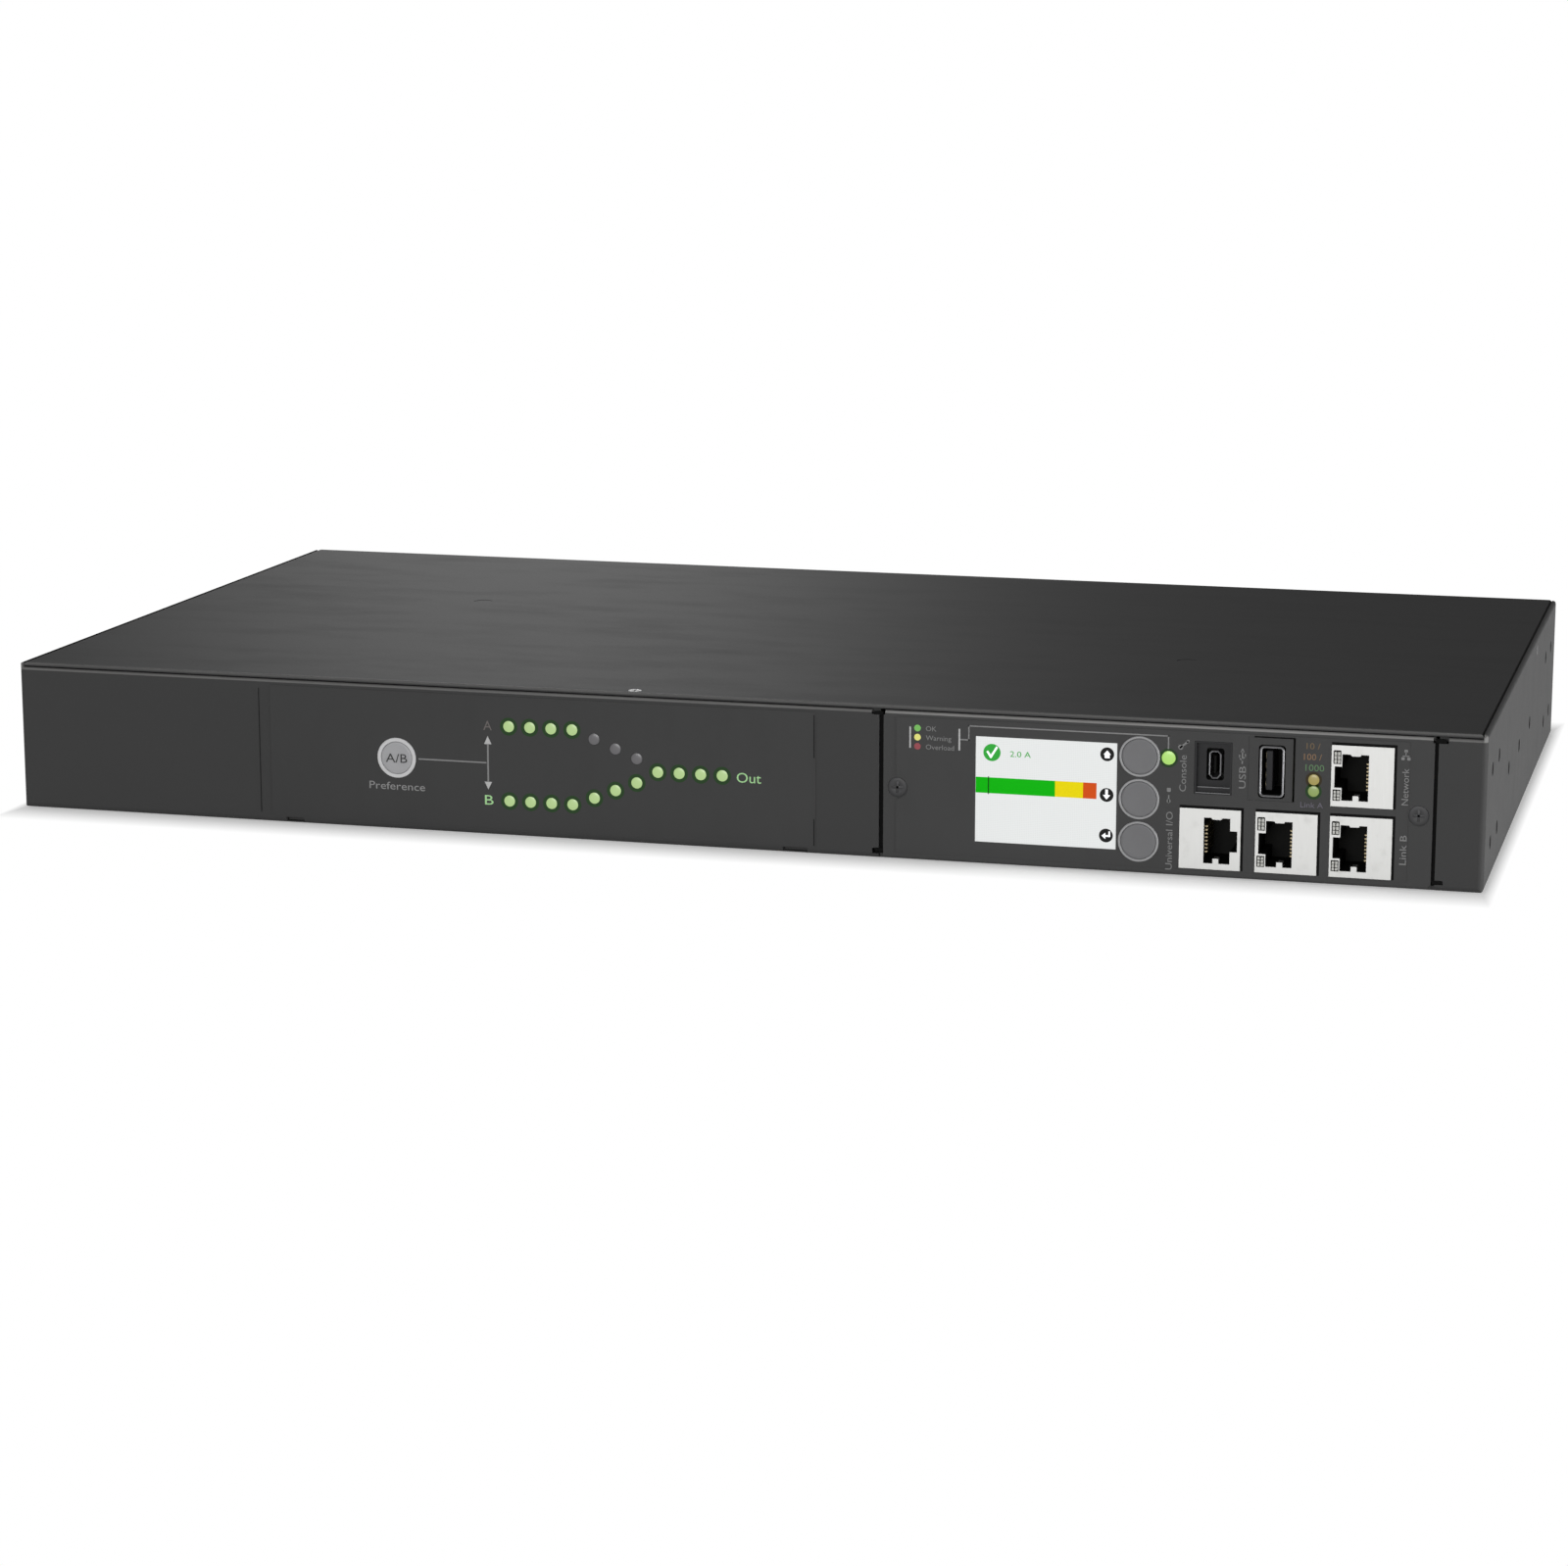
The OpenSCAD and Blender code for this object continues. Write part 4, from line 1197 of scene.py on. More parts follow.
@dataclass
class DiagramPanel:
    """Film, lamps, ring and button that show and choose the source."""

    lamp_r: float = 1.62
    lamp_dome: Triple = (-0.34, -0.33, -0.29)
    lamp_back: float = 7.9
    pitch: float = 6.38
    row_x: float = 153.41
    row_a: float = 32.25
    row_b: float = 10.35
    slope_a: Point = (0.15, -2.52)
    slope_b: Point = (-0.3, 2.58)
    slope_x: float = 0.2
    out_x: float = 0.1
    out_z: float = 21.25
    arrow_x: float = 147.0
    arrow_ends: tuple[Point, ...] = ((13.4, 15.7), (29.2, 26.8))
    arrow_half: float = 1.1
    # Black lines at the film's edges, painted shade in the gap there: x, low and high end, width.
    edge_shadows: tuple[tuple[float, Point, float], ...] = (
        (244.3, (28.0, 40.0), 0.32),
        (244.3, (2.6, 10.0), 0.32),
        (76.3, (3.0, 39.8), 0.2),
    )
    button: Point = (118.96, 21.3)
    button_r: float = 5.45
    ring_r: Point = (5.9, 4.8)
    button_print: Point = (-0.475, -0.45)

    def lamps(self) -> dict[Coat, list[Point]]:
        """Lamp centres by state: source B and the output lit, the end of A dark.

        Returns:
            The centres under the finish of their state.
        """
        flat = [self.row_x + i * self.pitch for i in range(4)]
        step = [self.row_x + (i + 3) * self.pitch + self.slope_x for i in (1, 2, 3)]
        out = [self.row_x + (i + 7) * self.pitch + self.out_x for i in range(4)]
        start_a, rise_a = self.slope_a
        start_b, rise_b = self.slope_b
        lit = [(x, self.row_a) for x in flat] + [(x, self.row_b) for x in flat]
        lit += [(x, self.row_b + start_b + rise_b * (i + 1)) for i, x in enumerate(step)]
        lit += [(x, self.out_z) for x in out]
        dark = [(x, self.row_a + start_a + rise_a * (i + 1)) for i, x in enumerate(step)]
        return {Coat.LAMP_ON: lit, Coat.LAMP_OFF: dark}

    def build_lamps(self) -> None:
        """Domed lenses on their light guides, and the glow round the lit ones."""
        profile = lens_profile(self.lamp_r, self.lamp_dome, self.lamp_back)
        lamps = self.lamps()
        for finish, centres in lamps.items():
            lens = Piece("diagram_" + finish.name.lower())
            for x, z in centres:
                lens.revolve(x, z, profile, 28, mapped=True)
            lens.finish(finish, "lamp_green", stands_for="mimic_lenses", smooth=True)
        glow = Piece("diagram_halo")
        for x, z in lamps[Coat.LAMP_ON]:
            glow.halo(x, z, self.lamp_r + 0.03, self.lamp_r + 1.0)
        glow.finish(Coat.HALO_GREEN, "film")

    def build_lines(self) -> None:
        """Lines and arrows from the button to both sources, and black lines at the film's edges:
        painted shade in the gap along them.
        """
        x, z = self.button
        lines = Piece("diagram_lines")
        lines.line([(x + 6.9, z), (self.arrow_x - 0.7, z)], 0.42)
        lines.line([(self.arrow_x, 15.9), (self.arrow_x, 26.6)], 0.5)
        lines.finish(Coat.INK_LINE, "ring_pale")
        shadow_lines = Piece("film_edge_lines")
        for line_x, (low, high), width in self.edge_shadows:
            shadow_lines.line([(line_x, low), (line_x, high)], width)
        shadow_lines.finish(Coat.INK_BLACK, "film")
        heads = Piece("diagram_arrowheads")
        left, right = self.arrow_x - self.arrow_half, self.arrow_x + self.arrow_half
        for tip, back in self.arrow_ends:
            heads.outline([(left, back), (right, back), (self.arrow_x, tip)])
        heads.finish(Coat.INK_PALE, "ring_pale")

    def build_words(self) -> None:
        """Words and letters of the diagram, those of live sources in green."""
        word = Piece("diagram_button_word").text("Preference", self.button[0], 13.0, 2.35, 17.2)
        word.finish(Coat.INK_WORD, "ring_pale")
        dark = Piece("diagram_letter_a").text("A", self.arrow_x, 32.35, 2.9, 2.6)
        dark.finish(Coat.INK_DIM, "ring_pale")
        lit = Piece("diagram_letters_lit").text("B", self.arrow_x + 0.2, 10.45, 3.0, 2.6)
        lit.text("Out", 225.2, 21.1, 3.0, 7.2).finish(Coat.INK_MINT, "lamp_green")

    def build_button(self) -> None:
        """Selector cap with its broad ring, its rolled edge and its print."""
        x, z = self.button
        cap = Piece("selector_cap").revolve(x, z, button_profile(self.button_r))
        cap.finish(Coat.CAP_LIGHT, "cap_light", "selector", "selector_button", smooth=True)
        ring = Piece("selector_ring").revolve(x, z, ring_profile(*self.ring_r))
        ring.finish(Coat.RING, "ring_pale", stands_for="button_rings", smooth=True)
        mark = Piece("selector_mark").text("A/B", x, z, 2.75, 6.6, self.button_print)
        mark.finish(Coat.INK_DARK, "cap_light", "selector")

    def build(self) -> None:
        """Builds and dresses the diagram side."""
        self.build_lamps()
        self.build_lines()
        self.build_words()
        self.build_button()
        dress({
            Coat.FILM: ["front_overlay"],
            Coat.BOARD: ["mimic_board"],
            Coat.BLACK_PLASTIC: ["tact_switches"],
            Coat.RIBBON: ["ribbon_cable"],
        })


@dataclass(frozen=True)
class RoundLamp:
    """One lamp of the module: its finishes, place, radius and the back end of its guide."""

    name: str
    lens: Coat
    glow: Coat
    x: float
    z: float
    radius: float
    back: float


@dataclass
class DisplayModule:
    """Faceplate module: display, keys, legend and status lamp."""

    page: Point = (-0.08, -0.05)
    overlay: Point = (-0.1, -0.08)
    tick: tuple[Point, ...] = ((294.3, 32.2), (295.2, 30.9), (296.8, 33.5))
    tick_spot: Triple = (295.5, 32.1, 2.45)
    pointer: tuple[Point, Point] = ((294.6, 20.4), (294.6, 25.1))
    bars: tuple[tuple[str, Coat, Point], ...] = (
        ("page_bar_green", Coat.PAGE_GREEN, (290.95, 313.5)),
        ("page_bar_yellow", Coat.PAGE_YELLOW, (313.5, 321.4)),
        ("page_bar_red", Coat.PAGE_RED, (321.4, 325.2)),
    )
    bar_z: Point = (20.5, 25.0)
    hint_x: float = 328.05
    hint_zs: tuple[float, ...] = (33.3, 21.8, 10.3)
    legend: tuple[tuple[str, Coat, float, float], ...] = (
        ("OK", Coat.INK_GREEN, 38.0, 3.0),
        ("Warning", Coat.INK_YELLOW, 35.4, 7.3),
        ("Overload", Coat.INK_RED, 32.8, 8.1),
    )
    legend_x: float = 276.6
    legend_z: Point = (32.5, 38.1)
    legend_line: tuple[Point, ...] = (
        (286.7, 35.35), (288.9, 35.35), (288.9, 39.35), (345.1, 39.35), (345.1, 35.9)
    )
    keys: tuple[tuple[str, str], ...] = (
        ("enter_key", "button_enter"),
        ("down_key", "button_down"),
        ("back_key", "button_back"),
    )
    key_x: float = 337.15
    key_z: float = 21.17
    key_pitch: float = 12.02
    key_r: float = 5.7
    key_inner_r: float = 5.05
    lamps: tuple[RoundLamp, ...] = (
        RoundLamp("status_lens", Coat.LAMP_STATUS, Coat.HALO_GREEN, 345.2, 33.2, 1.9, 7.9),
        RoundLamp("speed_lens", Coat.LAMP_YELLOW, Coat.HALO_AMBER, 385.3, 29.2, 1.5, 15.9),
        RoundLamp("link_lens", Coat.LAMP_NET, Coat.HALO_GREEN, 385.3, 26.0, 1.5, 15.9),
    )
    lamp_dome: Triple = (-0.36, -0.35, -0.3)
    screw_z: float = 20.7
    screw_xs: Point = (268.4, 414.0)
    screw_profile: tuple[Point, ...] = (
        (0, 0.7), (0.5, 0.55), (0.62, 0.12), (1.6, 0.0), (2.5, 0.02), (2.74, 0.1),
        (1.45, 1.3), (1.45, 9.0), (0, 9.0),
    )
    cross: Point = (1.7, 0.38)

    def build_page(self) -> None:
        """What the display shows: a tick, a reading and a load bar."""
        spot = Piece("page_tick").disc(*self.tick_spot, self.page)
        spot.finish(Coat.PAGE_CHECK, "display")
        mark = Piece("page_tick_mark").line(self.tick, 0.6, self.overlay)
        mark.finish(Coat.PAGE_WHITE, "display")
        reading = Piece("page_reading").text("2.0 A", 303.6, 32.0, 1.7, 5.9, self.page)
        reading.finish(Coat.PAGE_CHECK, "display")
        for name, finish, x in self.bars:
            Piece(name).plate(x, self.bar_z, self.page).finish(finish, "display")
        pointer = Piece("page_pointer").line(self.pointer, 0.32, self.overlay)
        pointer.finish(Coat.PAGE_DEEP, "display")

    def build_hints(self) -> None:
        """Black discs beside the keys, with a house, an arrow down and an arrow back."""
        dots = Piece("page_hints")
        for z in self.hint_zs:
            dots.disc(self.hint_x, z, 1.95, self.page)
        dots.finish(Coat.PAGE_BLACK, "display")
        x, top = self.hint_x, self.overlay
        signs = Piece("page_hint_signs")
        signs.outline([(327.0, 33.2), (329.1, 33.2), (x, 34.4)], top)
        signs.plate((327.35, 328.75), (32.2, 33.2), top)
        signs.line([(x, 23.0), (x, 21.6)], 0.75, top)
        signs.outline([(327.0, 21.8), (x, 20.5), (329.1, 21.8)], top)
        signs.line([(329.0, 11.3), (329.0, 10.2), (327.9, 10.2)], 0.5, top)
        signs.outline([(327.9, 11.1), (327.9, 9.3), (326.8, 10.2)], top)
        signs.finish(Coat.PAGE_WHITE, "display")

    def build_legend(self) -> None:
        """Colour key at the upper left and its line to the status lamp."""
        lines = Piece("legend_lines").line(self.legend_line, 0.36)
        lines.finish(Coat.INK_LINE, "ring_pale")
        bars = Piece("legend_bars")
        low, high = self.legend_z
        for x, width in ((272.1, 0.45), (286.2, 0.5)):
            bars.line([(x, low), (x, high)], width)
        bars.finish(Coat.INK_PALE, "ring_pale")
        words = Piece("legend_words")
        for text, finish, z, width in self.legend:
            dot = Piece("legend_" + finish.name.lower()).disc(274.2, z, 0.95, sides=24)
            dot.finish(finish, "ring_pale")
            words.text(text, self.legend_x + width / 2, z, 1.45, width)
        words.finish(Coat.INK_GREY, "ring_pale")

    def build_keys(self) -> None:
        """Three key caps beside the display, each in its ring."""
        for i, (body, node) in enumerate(self.keys):
            z = self.key_z + (i - 1) * self.key_pitch
            cap = Piece("cap_" + body).revolve(self.key_x, z, button_profile(self.key_r))
            cap.finish(Coat.CAP_GREY, "cap_grey", body, node, smooth=True)
            ring = Piece("ring_" + body)
            ring.revolve(self.key_x, z, ring_profile(self.key_r, self.key_inner_r))
            ring.finish(Coat.RING_GREY, "ring_pale", stands_for="button_rings", smooth=True)

    def build_lamps(self) -> None:
        """Status lamp and the two network lamps, each with its glow."""
        for lamp in self.lamps:
            profile = lens_profile(lamp.radius, self.lamp_dome, lamp.back)
            lens = Piece(lamp.name).revolve(lamp.x, lamp.z, profile, 32, mapped=True)
            lens.finish(lamp.lens, "lamp_green", stands_for="module_lenses", smooth=True)
            glow = Piece(lamp.name + "_halo")
            glow.halo(lamp.x, lamp.z, lamp.radius + 0.06, lamp.radius + 0.75)
            glow.finish(lamp.glow, "film")

    def build_screws(self) -> None:
        """Flush cross-head screws."""
        screw = Piece("faceplate_screws")
        for x in self.screw_xs:
            screw.revolve(x, self.screw_z, self.screw_profile)
            for a, b in (self.cross, self.cross[::-1]):
                z = (self.screw_z - b, self.screw_z + b)
                screw.block((x - a, x + a), (-0.02, 0.1), z, 0.05)
        screw.finish(Coat.BLACK_OXIDE, "black_screw", stands_for="module_screws", smooth=True)

    def build(self) -> None:
        """Builds and dresses the module."""
        self.build_page()
        self.build_hints()
        self.build_legend()
        self.build_keys()
        self.build_lamps()
        self.build_screws()
        dress({
            Coat.MODULE: ["module_frame"],
            Coat.MODULE_FILM: ["module_overlay"],
            Coat.PAGE: ["lcd_panel"],
            Coat.BLACK_PLASTIC: ["lcd_housing", "control_chips"],
            Coat.BOARD: ["ui_board", "control_board"],
            Coat.BOARD_BLACK: ["port_board"],
            Coat.HEADER: ["board_headers"],
            Coat.WIRE_RED: ["signal_wires"],
        })


@dataclass(frozen=True)
class Jack:
    """One jack's lower left corner; a mirrored one has its latch on the right."""

    x: float
    z: float
    mirrored: bool = False
    side: float = 17.0

    def spot(self, across: float, up: float) -> Point:
        """A point measured from the jack's latch side and its foot, on the panel."""
        return (self.x + (self.side - across if self.mirrored else across), self.z + up)


@dataclass
class Ports:
    """Jacks, serial ports and the words beside them."""

    jacks: tuple[Jack, ...] = (
        Jack(390.0, 22.2), Jack(390.05, 2.45), Jack(369.65, 2.45), Jack(348.6, 2.45, True)
    )
    gap_side: float = 0.75
    gap_top: float = 0.8
    foot: tuple[Point, ...] = ((6.0, 1.7), (6.15, 2.9), (7.55, 2.9), (7.7, 1.7))
    brow: tuple[Point, ...] = ((4.9, 14.7), (5.5, 14.0), (7.6, 14.0), (8.2, 14.7))
    spring_y: Point = (0.25, 3.4)
    windows: tuple[Point, ...] = ((1.65, 4.6), (11.9, 15.4))
    window_x: Point = (0.5, 2.65)
    window_y: Point = (-0.34, 0.1)
    window_rim: float = 0.1
    pane_xs: Point = (0.78, 1.72)
    pane_y: Point = (-0.38, 0.0)
    pane_width: float = 0.66
    usb_x: Point = (370.4, 377.1)
    usb_z: Point = (23.7, 37.9)
    usb_lining_y: Point = (0.52, 13.0)
    usb_tongue: tuple[Point, Point, Point] = ((371.95, 373.75), (1.6, 12.9), (25.3, 36.3))
    pad_x: Point = (371.82, 371.97)
    pad_y: Point = (2.2, 8.0)
    pad_zs: tuple[float, ...] = (25.9, 28.6, 31.3, 34.0)
    pad_height: float = 1.8
    console_outer: tuple[Point, ...] = (
        (357.2, 27.8), (358.6, 27.8), (359.6, 28.9), (359.6, 34.7),
        (358.8, 35.6), (357.0, 35.6), (356.2, 34.9), (356.2, 28.9),
    )
    console_inner: tuple[Point, ...] = (
        (357.32, 28.15), (358.46, 28.15), (359.25, 29.05), (359.25, 34.55),
        (358.66, 35.25), (357.14, 35.25), (356.55, 34.75), (356.55, 29.05),
    )
    console_tongue: tuple[Point, Point, Point] = ((357.5, 358.2), (1.8, 8.1), (29.2, 34.2))
    # Pale strips on the step ledges: a painted highlight of light from above.
    console_ledge_highlights: tuple[tuple[Point, Point, Point], ...] = (
        ((353.1, 362.2), (0.9, 1.05), (25.2, 25.5)),
        ((352.8, 362.4), (-0.16, 0.0), (23.78, 24.08)),
    )
    upright_words: tuple[tuple[str, float, float, float], ...] = (
        ("Console", 349.2, 29.1, 10.2),
        ("Universal I/O", 345.7, 9.9, 16.4),
        ("Network", 410.1, 28.6, 10.2),
        ("Link B", 410.0, 11.0, 8.2),
        ("USB", 365.65, 28.85, 6.2),
    )
    level_words: tuple[tuple[str, Coat, float, float, float, float], ...] = (
        ("Link A", Coat.INK_VIOLET, 384.9, 22.2, 1.6, 6.2),
        ("10 /", Coat.INK_AMBER, 385.0, 38.6, 1.8, 3.8),
        ("100 /", Coat.INK_TAN, 384.9, 35.6, 1.8, 4.9),
        ("1000", Coat.INK_TEAL, 385.5, 32.6, 1.9, 5.1),
    )

    def build_jack_trim(self) -> None:
        """Shadow lines beside and above each jack, and the pressed springs in its mouth."""
        springs = Piece("jack_springs")
        gaps = Piece("jack_shadow_gaps")
        for jack in self.jacks:
            right, top = jack.x + jack.side, jack.z + jack.side
            gaps.plate((jack.x, right + self.gap_side), (top, top + self.gap_top))
            gaps.plate((right, right + self.gap_side), (jack.z, top))
            for shape in (self.foot, self.brow):
                springs.outline([jack.spot(*point) for point in shape], self.spring_y)
        springs.finish(Coat.SHIELD, "shield")
        gaps.finish(Coat.GASKET, "bezel_black")

    def build_link_windows(self) -> None:
        """Pale windows of the link lamps in their frames, two by three in each."""
        frames = Piece("link_window_frames")
        panes = Piece("link_window_panes")
        for jack in self.jacks:
            if jack.mirrored:
                continue
            across = (jack.x + self.window_x[0], jack.x + self.window_x[1])
            for low, high in self.windows:
                z0, z1 = jack.z + low, jack.z + high
                rim = (z0 - self.window_rim, z1 + self.window_rim)
                frames.block(across, self.window_y, rim, 0.05, 1)
                tall = (z1 - z0 - 0.4) / 3
                for pane_x in self.pane_xs:
                    x = (jack.x + pane_x, jack.x + pane_x + self.pane_width)
                    for i in range(3):
                        z = z0 + 0.14 + i * (tall + 0.06)
                        panes.block(x, self.pane_y, (z, z + tall - 0.1), 0.04, 1)
        frames.finish(Coat.INSERT_PLASTIC, "insert_black")
        panes.finish(Coat.LINK_WINDOW, "shield")

    def usb_outline(self, inset: float, radius: float) -> list[Point]:
        """The data port's outline, drawn in by an inset."""
        (left, right), (low, high) = self.usb_x, self.usb_z
        return rounded((left + inset, right - inset), (low + inset, high - inset), radius)

    def build_data_port(self) -> None:
        """Rolled shell of the data port round a black lining, painted shade inside the port, and a
        narrow tongue.
        """
        outer = self.usb_outline(0.0, 1.2)
        shell = Piece("data_port_shell").tube(outer, self.usb_outline(0.5, 0.8), (-0.2, 0.5), 0.18)
        shell.finish(Coat.PORT_STEEL, "port_steel", stands_for="usb_port", smooth=True)
        # Painted shade: a black lining inside the shell and a black back stand for the shade deep
        # in the port.
        back = self.usb_lining_y[1]
        shade_lining = Piece("data_port_well")
        shade_lining.tube(outer, self.usb_outline(0.55, 0.75), self.usb_lining_y, 0.05)
        shade_lining.outline(outer, (back, back + 1.5))
        shade_lining.finish(Coat.INSERT_PLASTIC, "insert_black", stands_for="usb_port")
        tongue = Piece("data_port_tongue").block(*self.usb_tongue, 0.2)
        tongue.finish(Coat.TONGUE, "insert_black", stands_for="usb_port")
        pads = Piece("data_port_pads")
        for low in self.pad_zs:
            pads.block(self.pad_x, self.pad_y, (low, low + self.pad_height), 0.04, 1)
        pads.finish(Coat.GOLD, "port_steel", stands_for="usb_port")

    def build_console_port(self) -> None:
        """Narrow shell of the console port, its tongue, and pale strips on the steps round it: a
        painted highlight where light falls on the ledges.
        """
        shell = Piece("console_port_shell")
        shell.tube(self.console_outer, self.console_inner, (1.1, 8.0), 0.12)
        shell.finish(Coat.PORT_STEEL, "port_steel", stands_for="console_shell")
        core = Piece("console_port_core").outline(self.console_outer, (8.0, 14.5))
        core.block(*self.console_tongue, 0.08, 1)
        core.finish(Coat.INSERT_PLASTIC, "insert_black", stands_for="console_shell")
        ledge_highlights = Piece("console_port_ledges")
        for spans in self.console_ledge_highlights:
            ledge_highlights.block(*spans, 0.04, 1)
        ledge_highlights.finish(Coat.CAP_GREY, "bezel_black")

    def build_words(self) -> None:
        """Port names, read upwards beside their ports, and the level words."""
        words = Piece("port_words")
        for text, x, z, length in self.upright_words:
            words.text(text, x, z, 1.95, length, turned=True)
        self.build_icons(words)
        words.finish(Coat.INK_GREY, "ring_pale")
        for text, finish, x, z, height, width in self.level_words:
            word = Piece(finish.name.lower() + "_word").text(text, x, z, height, width)
            word.finish(finish, "ring_pale")

    def build_icons(self, words: Piece) -> None:
        """Small plain signs: a plug, a sensor line, a branching line and a tree of boxes.

        Args:
            words: The piece that takes them.
        """
        for points, width in (
            ([(348.4, 36.3), (350.4, 38.0)], 0.5),
            ([(345.45, 20.6), (345.45, 22.6)], 0.35),
            ([(410.1, 37.1), (410.1, 38.2)], 0.28),
            ([(409.3, 37.1), (410.9, 37.1)], 0.28),
            ([(365.6, 32.8), (365.6, 36.2)], 0.35),
            ([(364.8, 35.0), (364.8, 34.2), (365.6, 33.6)], 0.3),
            ([(366.4, 35.3), (366.4, 34.6), (365.6, 34.0)], 0.3),
        ):
            words.line(points, width)
        for x, z, radius, sides in (
            (348.5, 36.4, 0.7, 16), (350.5, 38.1, 0.45, 12), (345.45, 21.1, 0.55, 16)
        ):
            words.disc(x, z, radius, sides=sides)
        words.outline(rounded((344.9, 346.0), (23.7, 24.8), 0.2, 2))
        for x, z in ((409.3, 36.4), (410.9, 36.4), (410.1, 38.5)):
            words.outline(rounded((x - 0.45, x + 0.45), (z - 0.4, z + 0.4), 0.15, 2))
        words.outline([(365.0, 35.9), (366.2, 35.9), (365.6, 37.0)])

    def build(self) -> None:
        """Builds and dresses the ports."""
        self.build_link_windows()
        self.build_jack_trim()
        self.build_data_port()
        self.build_console_port()
        self.build_words()
        dress({
            Coat.SHIELD: ["jack_shields"],
            Coat.INSERT_PLASTIC: ["jack_inserts"],
            Coat.GOLD: ["jack_contacts"],
            Coat.BEZEL_PLASTIC: ["console_bezel"],
        })


@dataclass
class PowerStage:
    """Everything between the inlets and the outlets, and the rear panel."""

    def build(self) -> None:
        """Dresses the power parts."""
        dress({
            Coat.INSULATOR: ["insulating_sheet"],
            Coat.BOARD: ["power_board", "supply_board"],
            Coat.BRASS: ["board_standoffs", "outlet_tabs"],
            Coat.RELAY_PLASTIC: ["relays"],
            Coat.SENSOR: ["current_sensors"],
            Coat.CAP_YELLOW: ["film_capacitors"],
            Coat.CAN_SLEEVE: ["bulk_capacitors"],
            Coat.DISC_BLUE: ["surge_varistors"],
            Coat.CLAMP_GREEN: ["terminal_blocks"],
            Coat.FERRITE: ["supply_transformers"],
            Coat.ALUMINIUM: ["supply_heatsinks"],
            Coat.SOCKET_PLASTIC: [
                "inlet_a", "inlet_b", "large_outlet", "small_outlets",
                "breaker_bodies", "breaker_nuts",
            ],
            Coat.NICKEL: ["inlet_blades"],
            Coat.COPPER: ["bus_bars"],
            Coat.RESET: ["breaker_button_a", "breaker_button_b"],
            Coat.WIRE_GREEN: ["earth_wire"],
            Coat.WIRE_BROWN: ["power_wires"],
        })


# --- studio ----------------------------------------------------------------------------


@dataclass(frozen=True)
class SoftLamp:
    """A rectangular lamp: its place and size in metres and its power in watts."""

    name: str
    place: Triple
    size: Point
    power: float

    def build(self, target: Vector) -> None:
        """Hangs the lamp so that it faces the target.

        Args:
            target: The point it faces.
        """
        data = bpy.data.lights.new(self.name, "AREA")
        data.shape = "RECTANGLE"
        data.size, data.size_y = self.size
        data.energy = self.power
        lamp = bpy.data.objects.new(self.name, data)
        lamp.location = self.place
        aim = target - lamp.location
        lamp.rotation_euler = aim.to_track_quat("-Z", "Y").to_euler()
        bpy.context.scene.collection.objects.link(lamp)


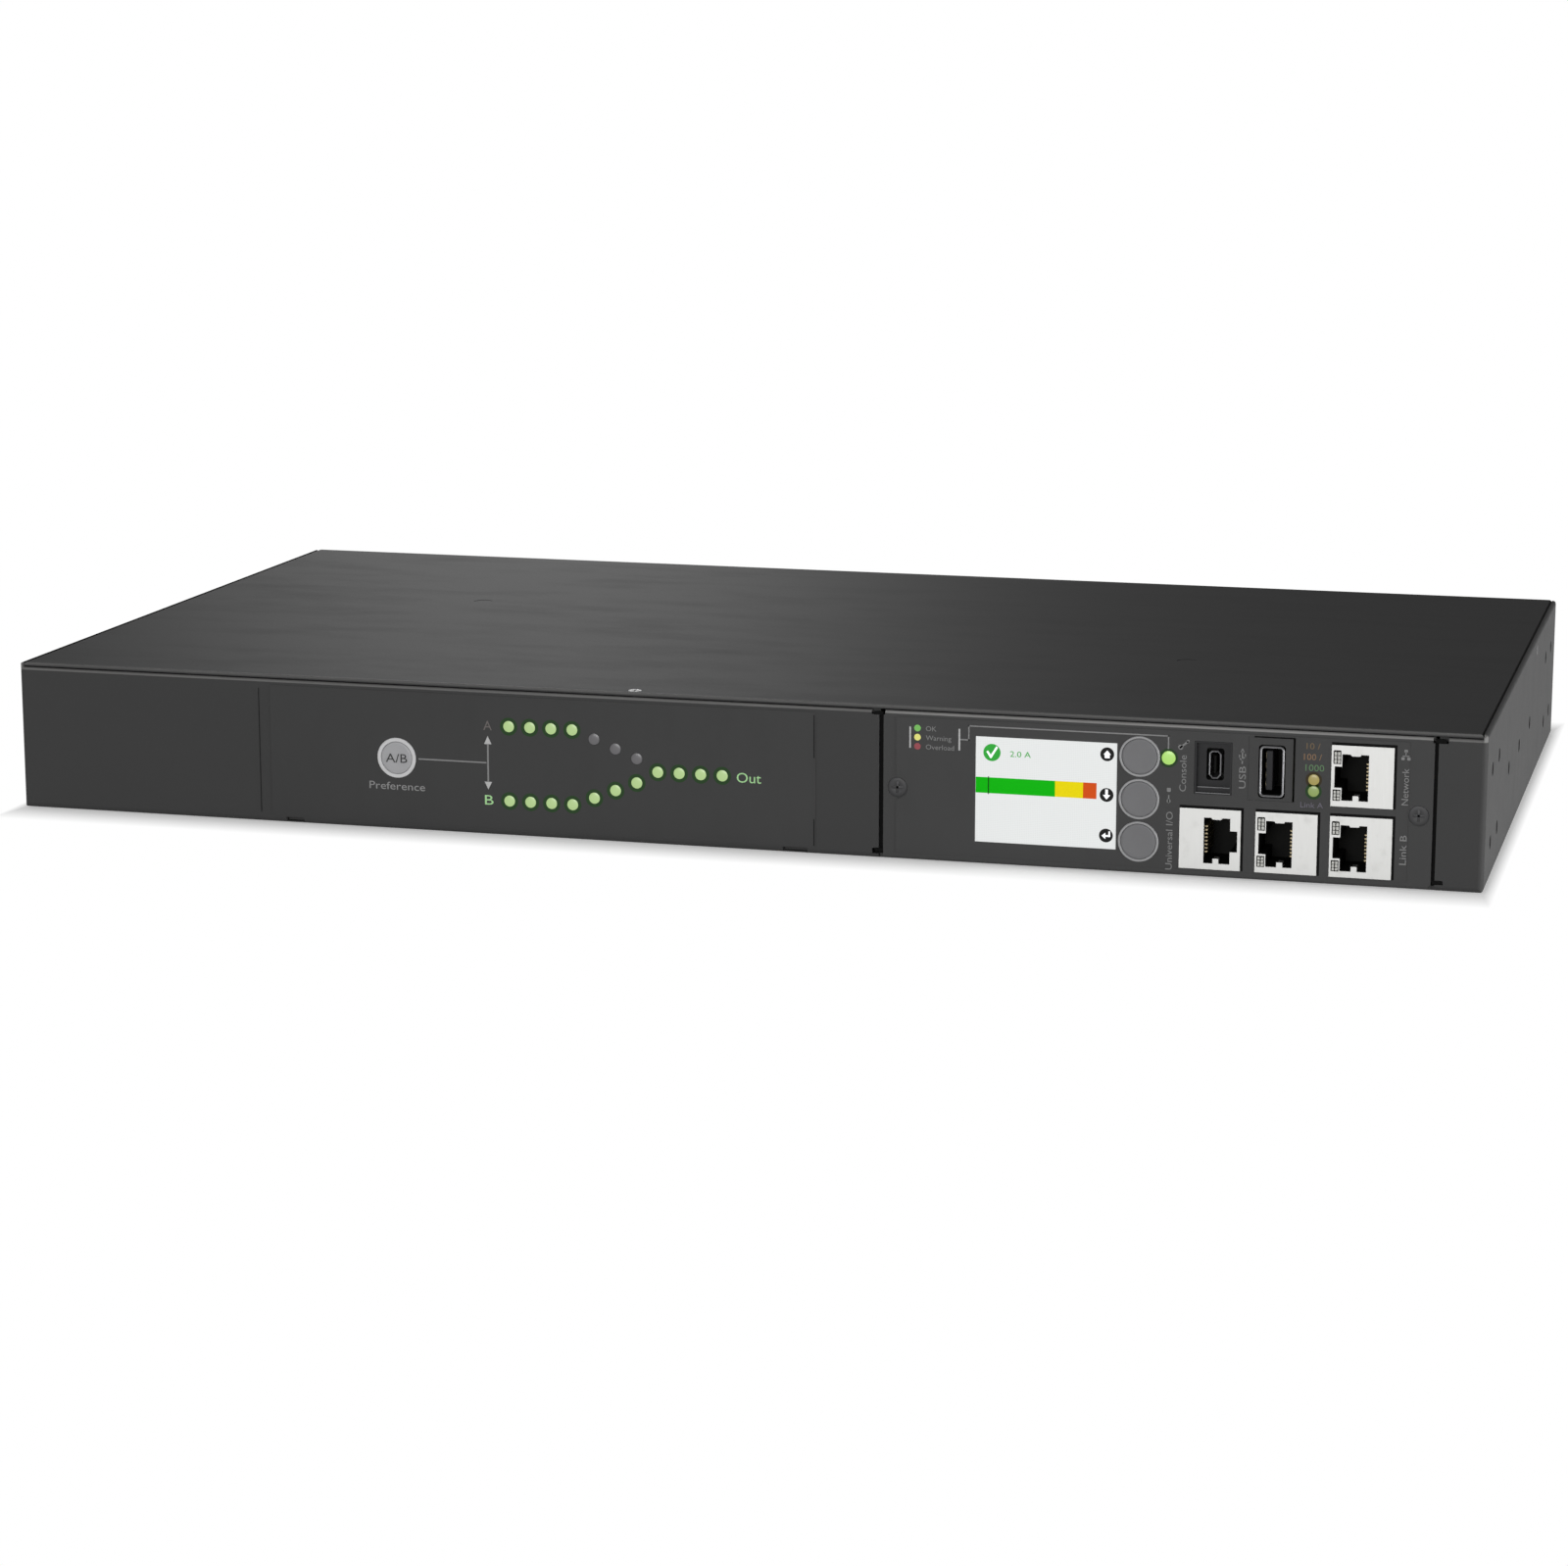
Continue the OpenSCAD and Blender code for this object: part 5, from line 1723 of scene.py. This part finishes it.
@dataclass
class Studio:
    """Pale floor, room light, soft lamps and the camera."""

    eye: Triple = (522.38, -1060.2, 249.87)
    turn: float = 0.2643
    dip: float = 0.2062
    lens: float = 91.0
    sensor: float = 36.0
    ambient: Point = (0.4, 0.03)
    falloff: Point = (-0.7, 0.5)
    sheet: float = 40.0
    drop: float = 0.2 * MM
    paper: Point = (0.8, 0.82)
    lift: float = 0.32
    reach: Point = (0.001, 0.015)
    side_share: float = 4.5
    lamps: tuple[SoftLamp, ...] = (
        SoftLamp("back_left", (-0.88, 2.3, 0.5), (0.55, 0.5), 4.8),
        SoftLamp("front", (0.0, -2.6, 0.5), (1.2, 0.6), 36.0),
        SoftLamp("right", (1.6, -0.2, 0.15), (1.0, 0.28), 23.0),
    )
    target: Triple = (0.0, 0.0, 0.02)

    def build_camera(self) -> None:
        """A level camera off the right front corner, a little above the case."""
        data = bpy.data.cameras.new("camera")
        data.lens = self.lens
        data.sensor_width = self.sensor
        data.clip_end = 100.0
        camera = bpy.data.objects.new("camera", data)
        camera.location = PANEL.at(*self.eye)
        camera.rotation_euler = (math.pi / 2 - self.dip, 0.0, self.turn)
        bpy.context.scene.collection.objects.link(camera)
        bpy.context.scene.camera = camera

    def paint_floor(self) -> bpy.types.Material:
        """Paper that is plain white to the camera, apart from a shadow close to the case.

        Returns:
            The finished material.
        """
        g = Graph.named("floor_paper")
        x, y, _ = g.axes()
        paper = g.blend(g.noise(0.02, 3), *(tone(level) for level in self.paper))
        matt = g.node("ShaderNodeBsdfDiffuse", {}, {"Color": paper})
        lift = g.node("ShaderNodeEmission", {}, {"Color": tone(1.0), "Strength": self.lift})
        near = g.node("ShaderNodeAddShader", {}, {0: matt, 1: lift})
        far = g.node("ShaderNodeEmission", {}, {"Color": tone(1.0), "Strength": 1.0})
        high = CAD_BOX[1]
        away = ((abs(x) - high[0]) * self.side_share).most(abs(y) - high[1])
        eye = g.node("ShaderNodeMixShader", {}, {0: away.ramp(*self.reach), 1: near, 2: far})
        g.close(g.node("ShaderNodeMixShader", {}, {0: g.seen(), 1: matt, 2: eye}))
        return g.owner

    def build_floor(self) -> None:
        """A wide pale sheet just under the case."""
        bm = bmesh.new()
        bmesh.ops.create_grid(bm, x_segments=1, y_segments=1, size=self.sheet)
        mesh = bpy.data.meshes.new("floor")
        bm.to_mesh(mesh)
        bm.free()
        mesh.materials.append(self.paint_floor())
        floor = bpy.data.objects.new("floor", mesh)
        floor.location.z = CAD_BOX[0][2] - self.drop
        bpy.context.scene.collection.objects.link(floor)

    def build_world(self) -> None:
        """Soft room light that falls off towards the right."""
        world = bpy.data.worlds.new("studio")
        bpy.context.scene.world = world
        g = Graph(world)
        aim = g.node("ShaderNodeTexCoord", output="Generated")
        right = g.node("ShaderNodeSeparateXYZ", {}, {0: aim}).ramp(*self.falloff)
        level = g.blend(right, *(tone(ambient) for ambient in self.ambient))
        g.close(g.node("ShaderNodeBackground", {}, {"Color": level, "Strength": 1.0}))

    def build(self) -> None:
        """Sets the stage."""
        bpy.context.scene.view_settings.view_transform = "Standard"
        self.build_camera()
        self.build_floor()
        self.build_world()
        for lamp in self.lamps:
            lamp.build(Vector(self.target))


def main() -> None:
    """Builds the switch and its studio, and reports each piece."""
    logging.basicConfig(level=logging.INFO, format="%(name)s %(message)s")
    for part in (Studio(), Case(), DiagramPanel(), DisplayModule(), Ports(), PowerStage()):
        part.build()
        LOG.info("built %s", type(part).__name__)


if __name__ == "__main__":
    main()
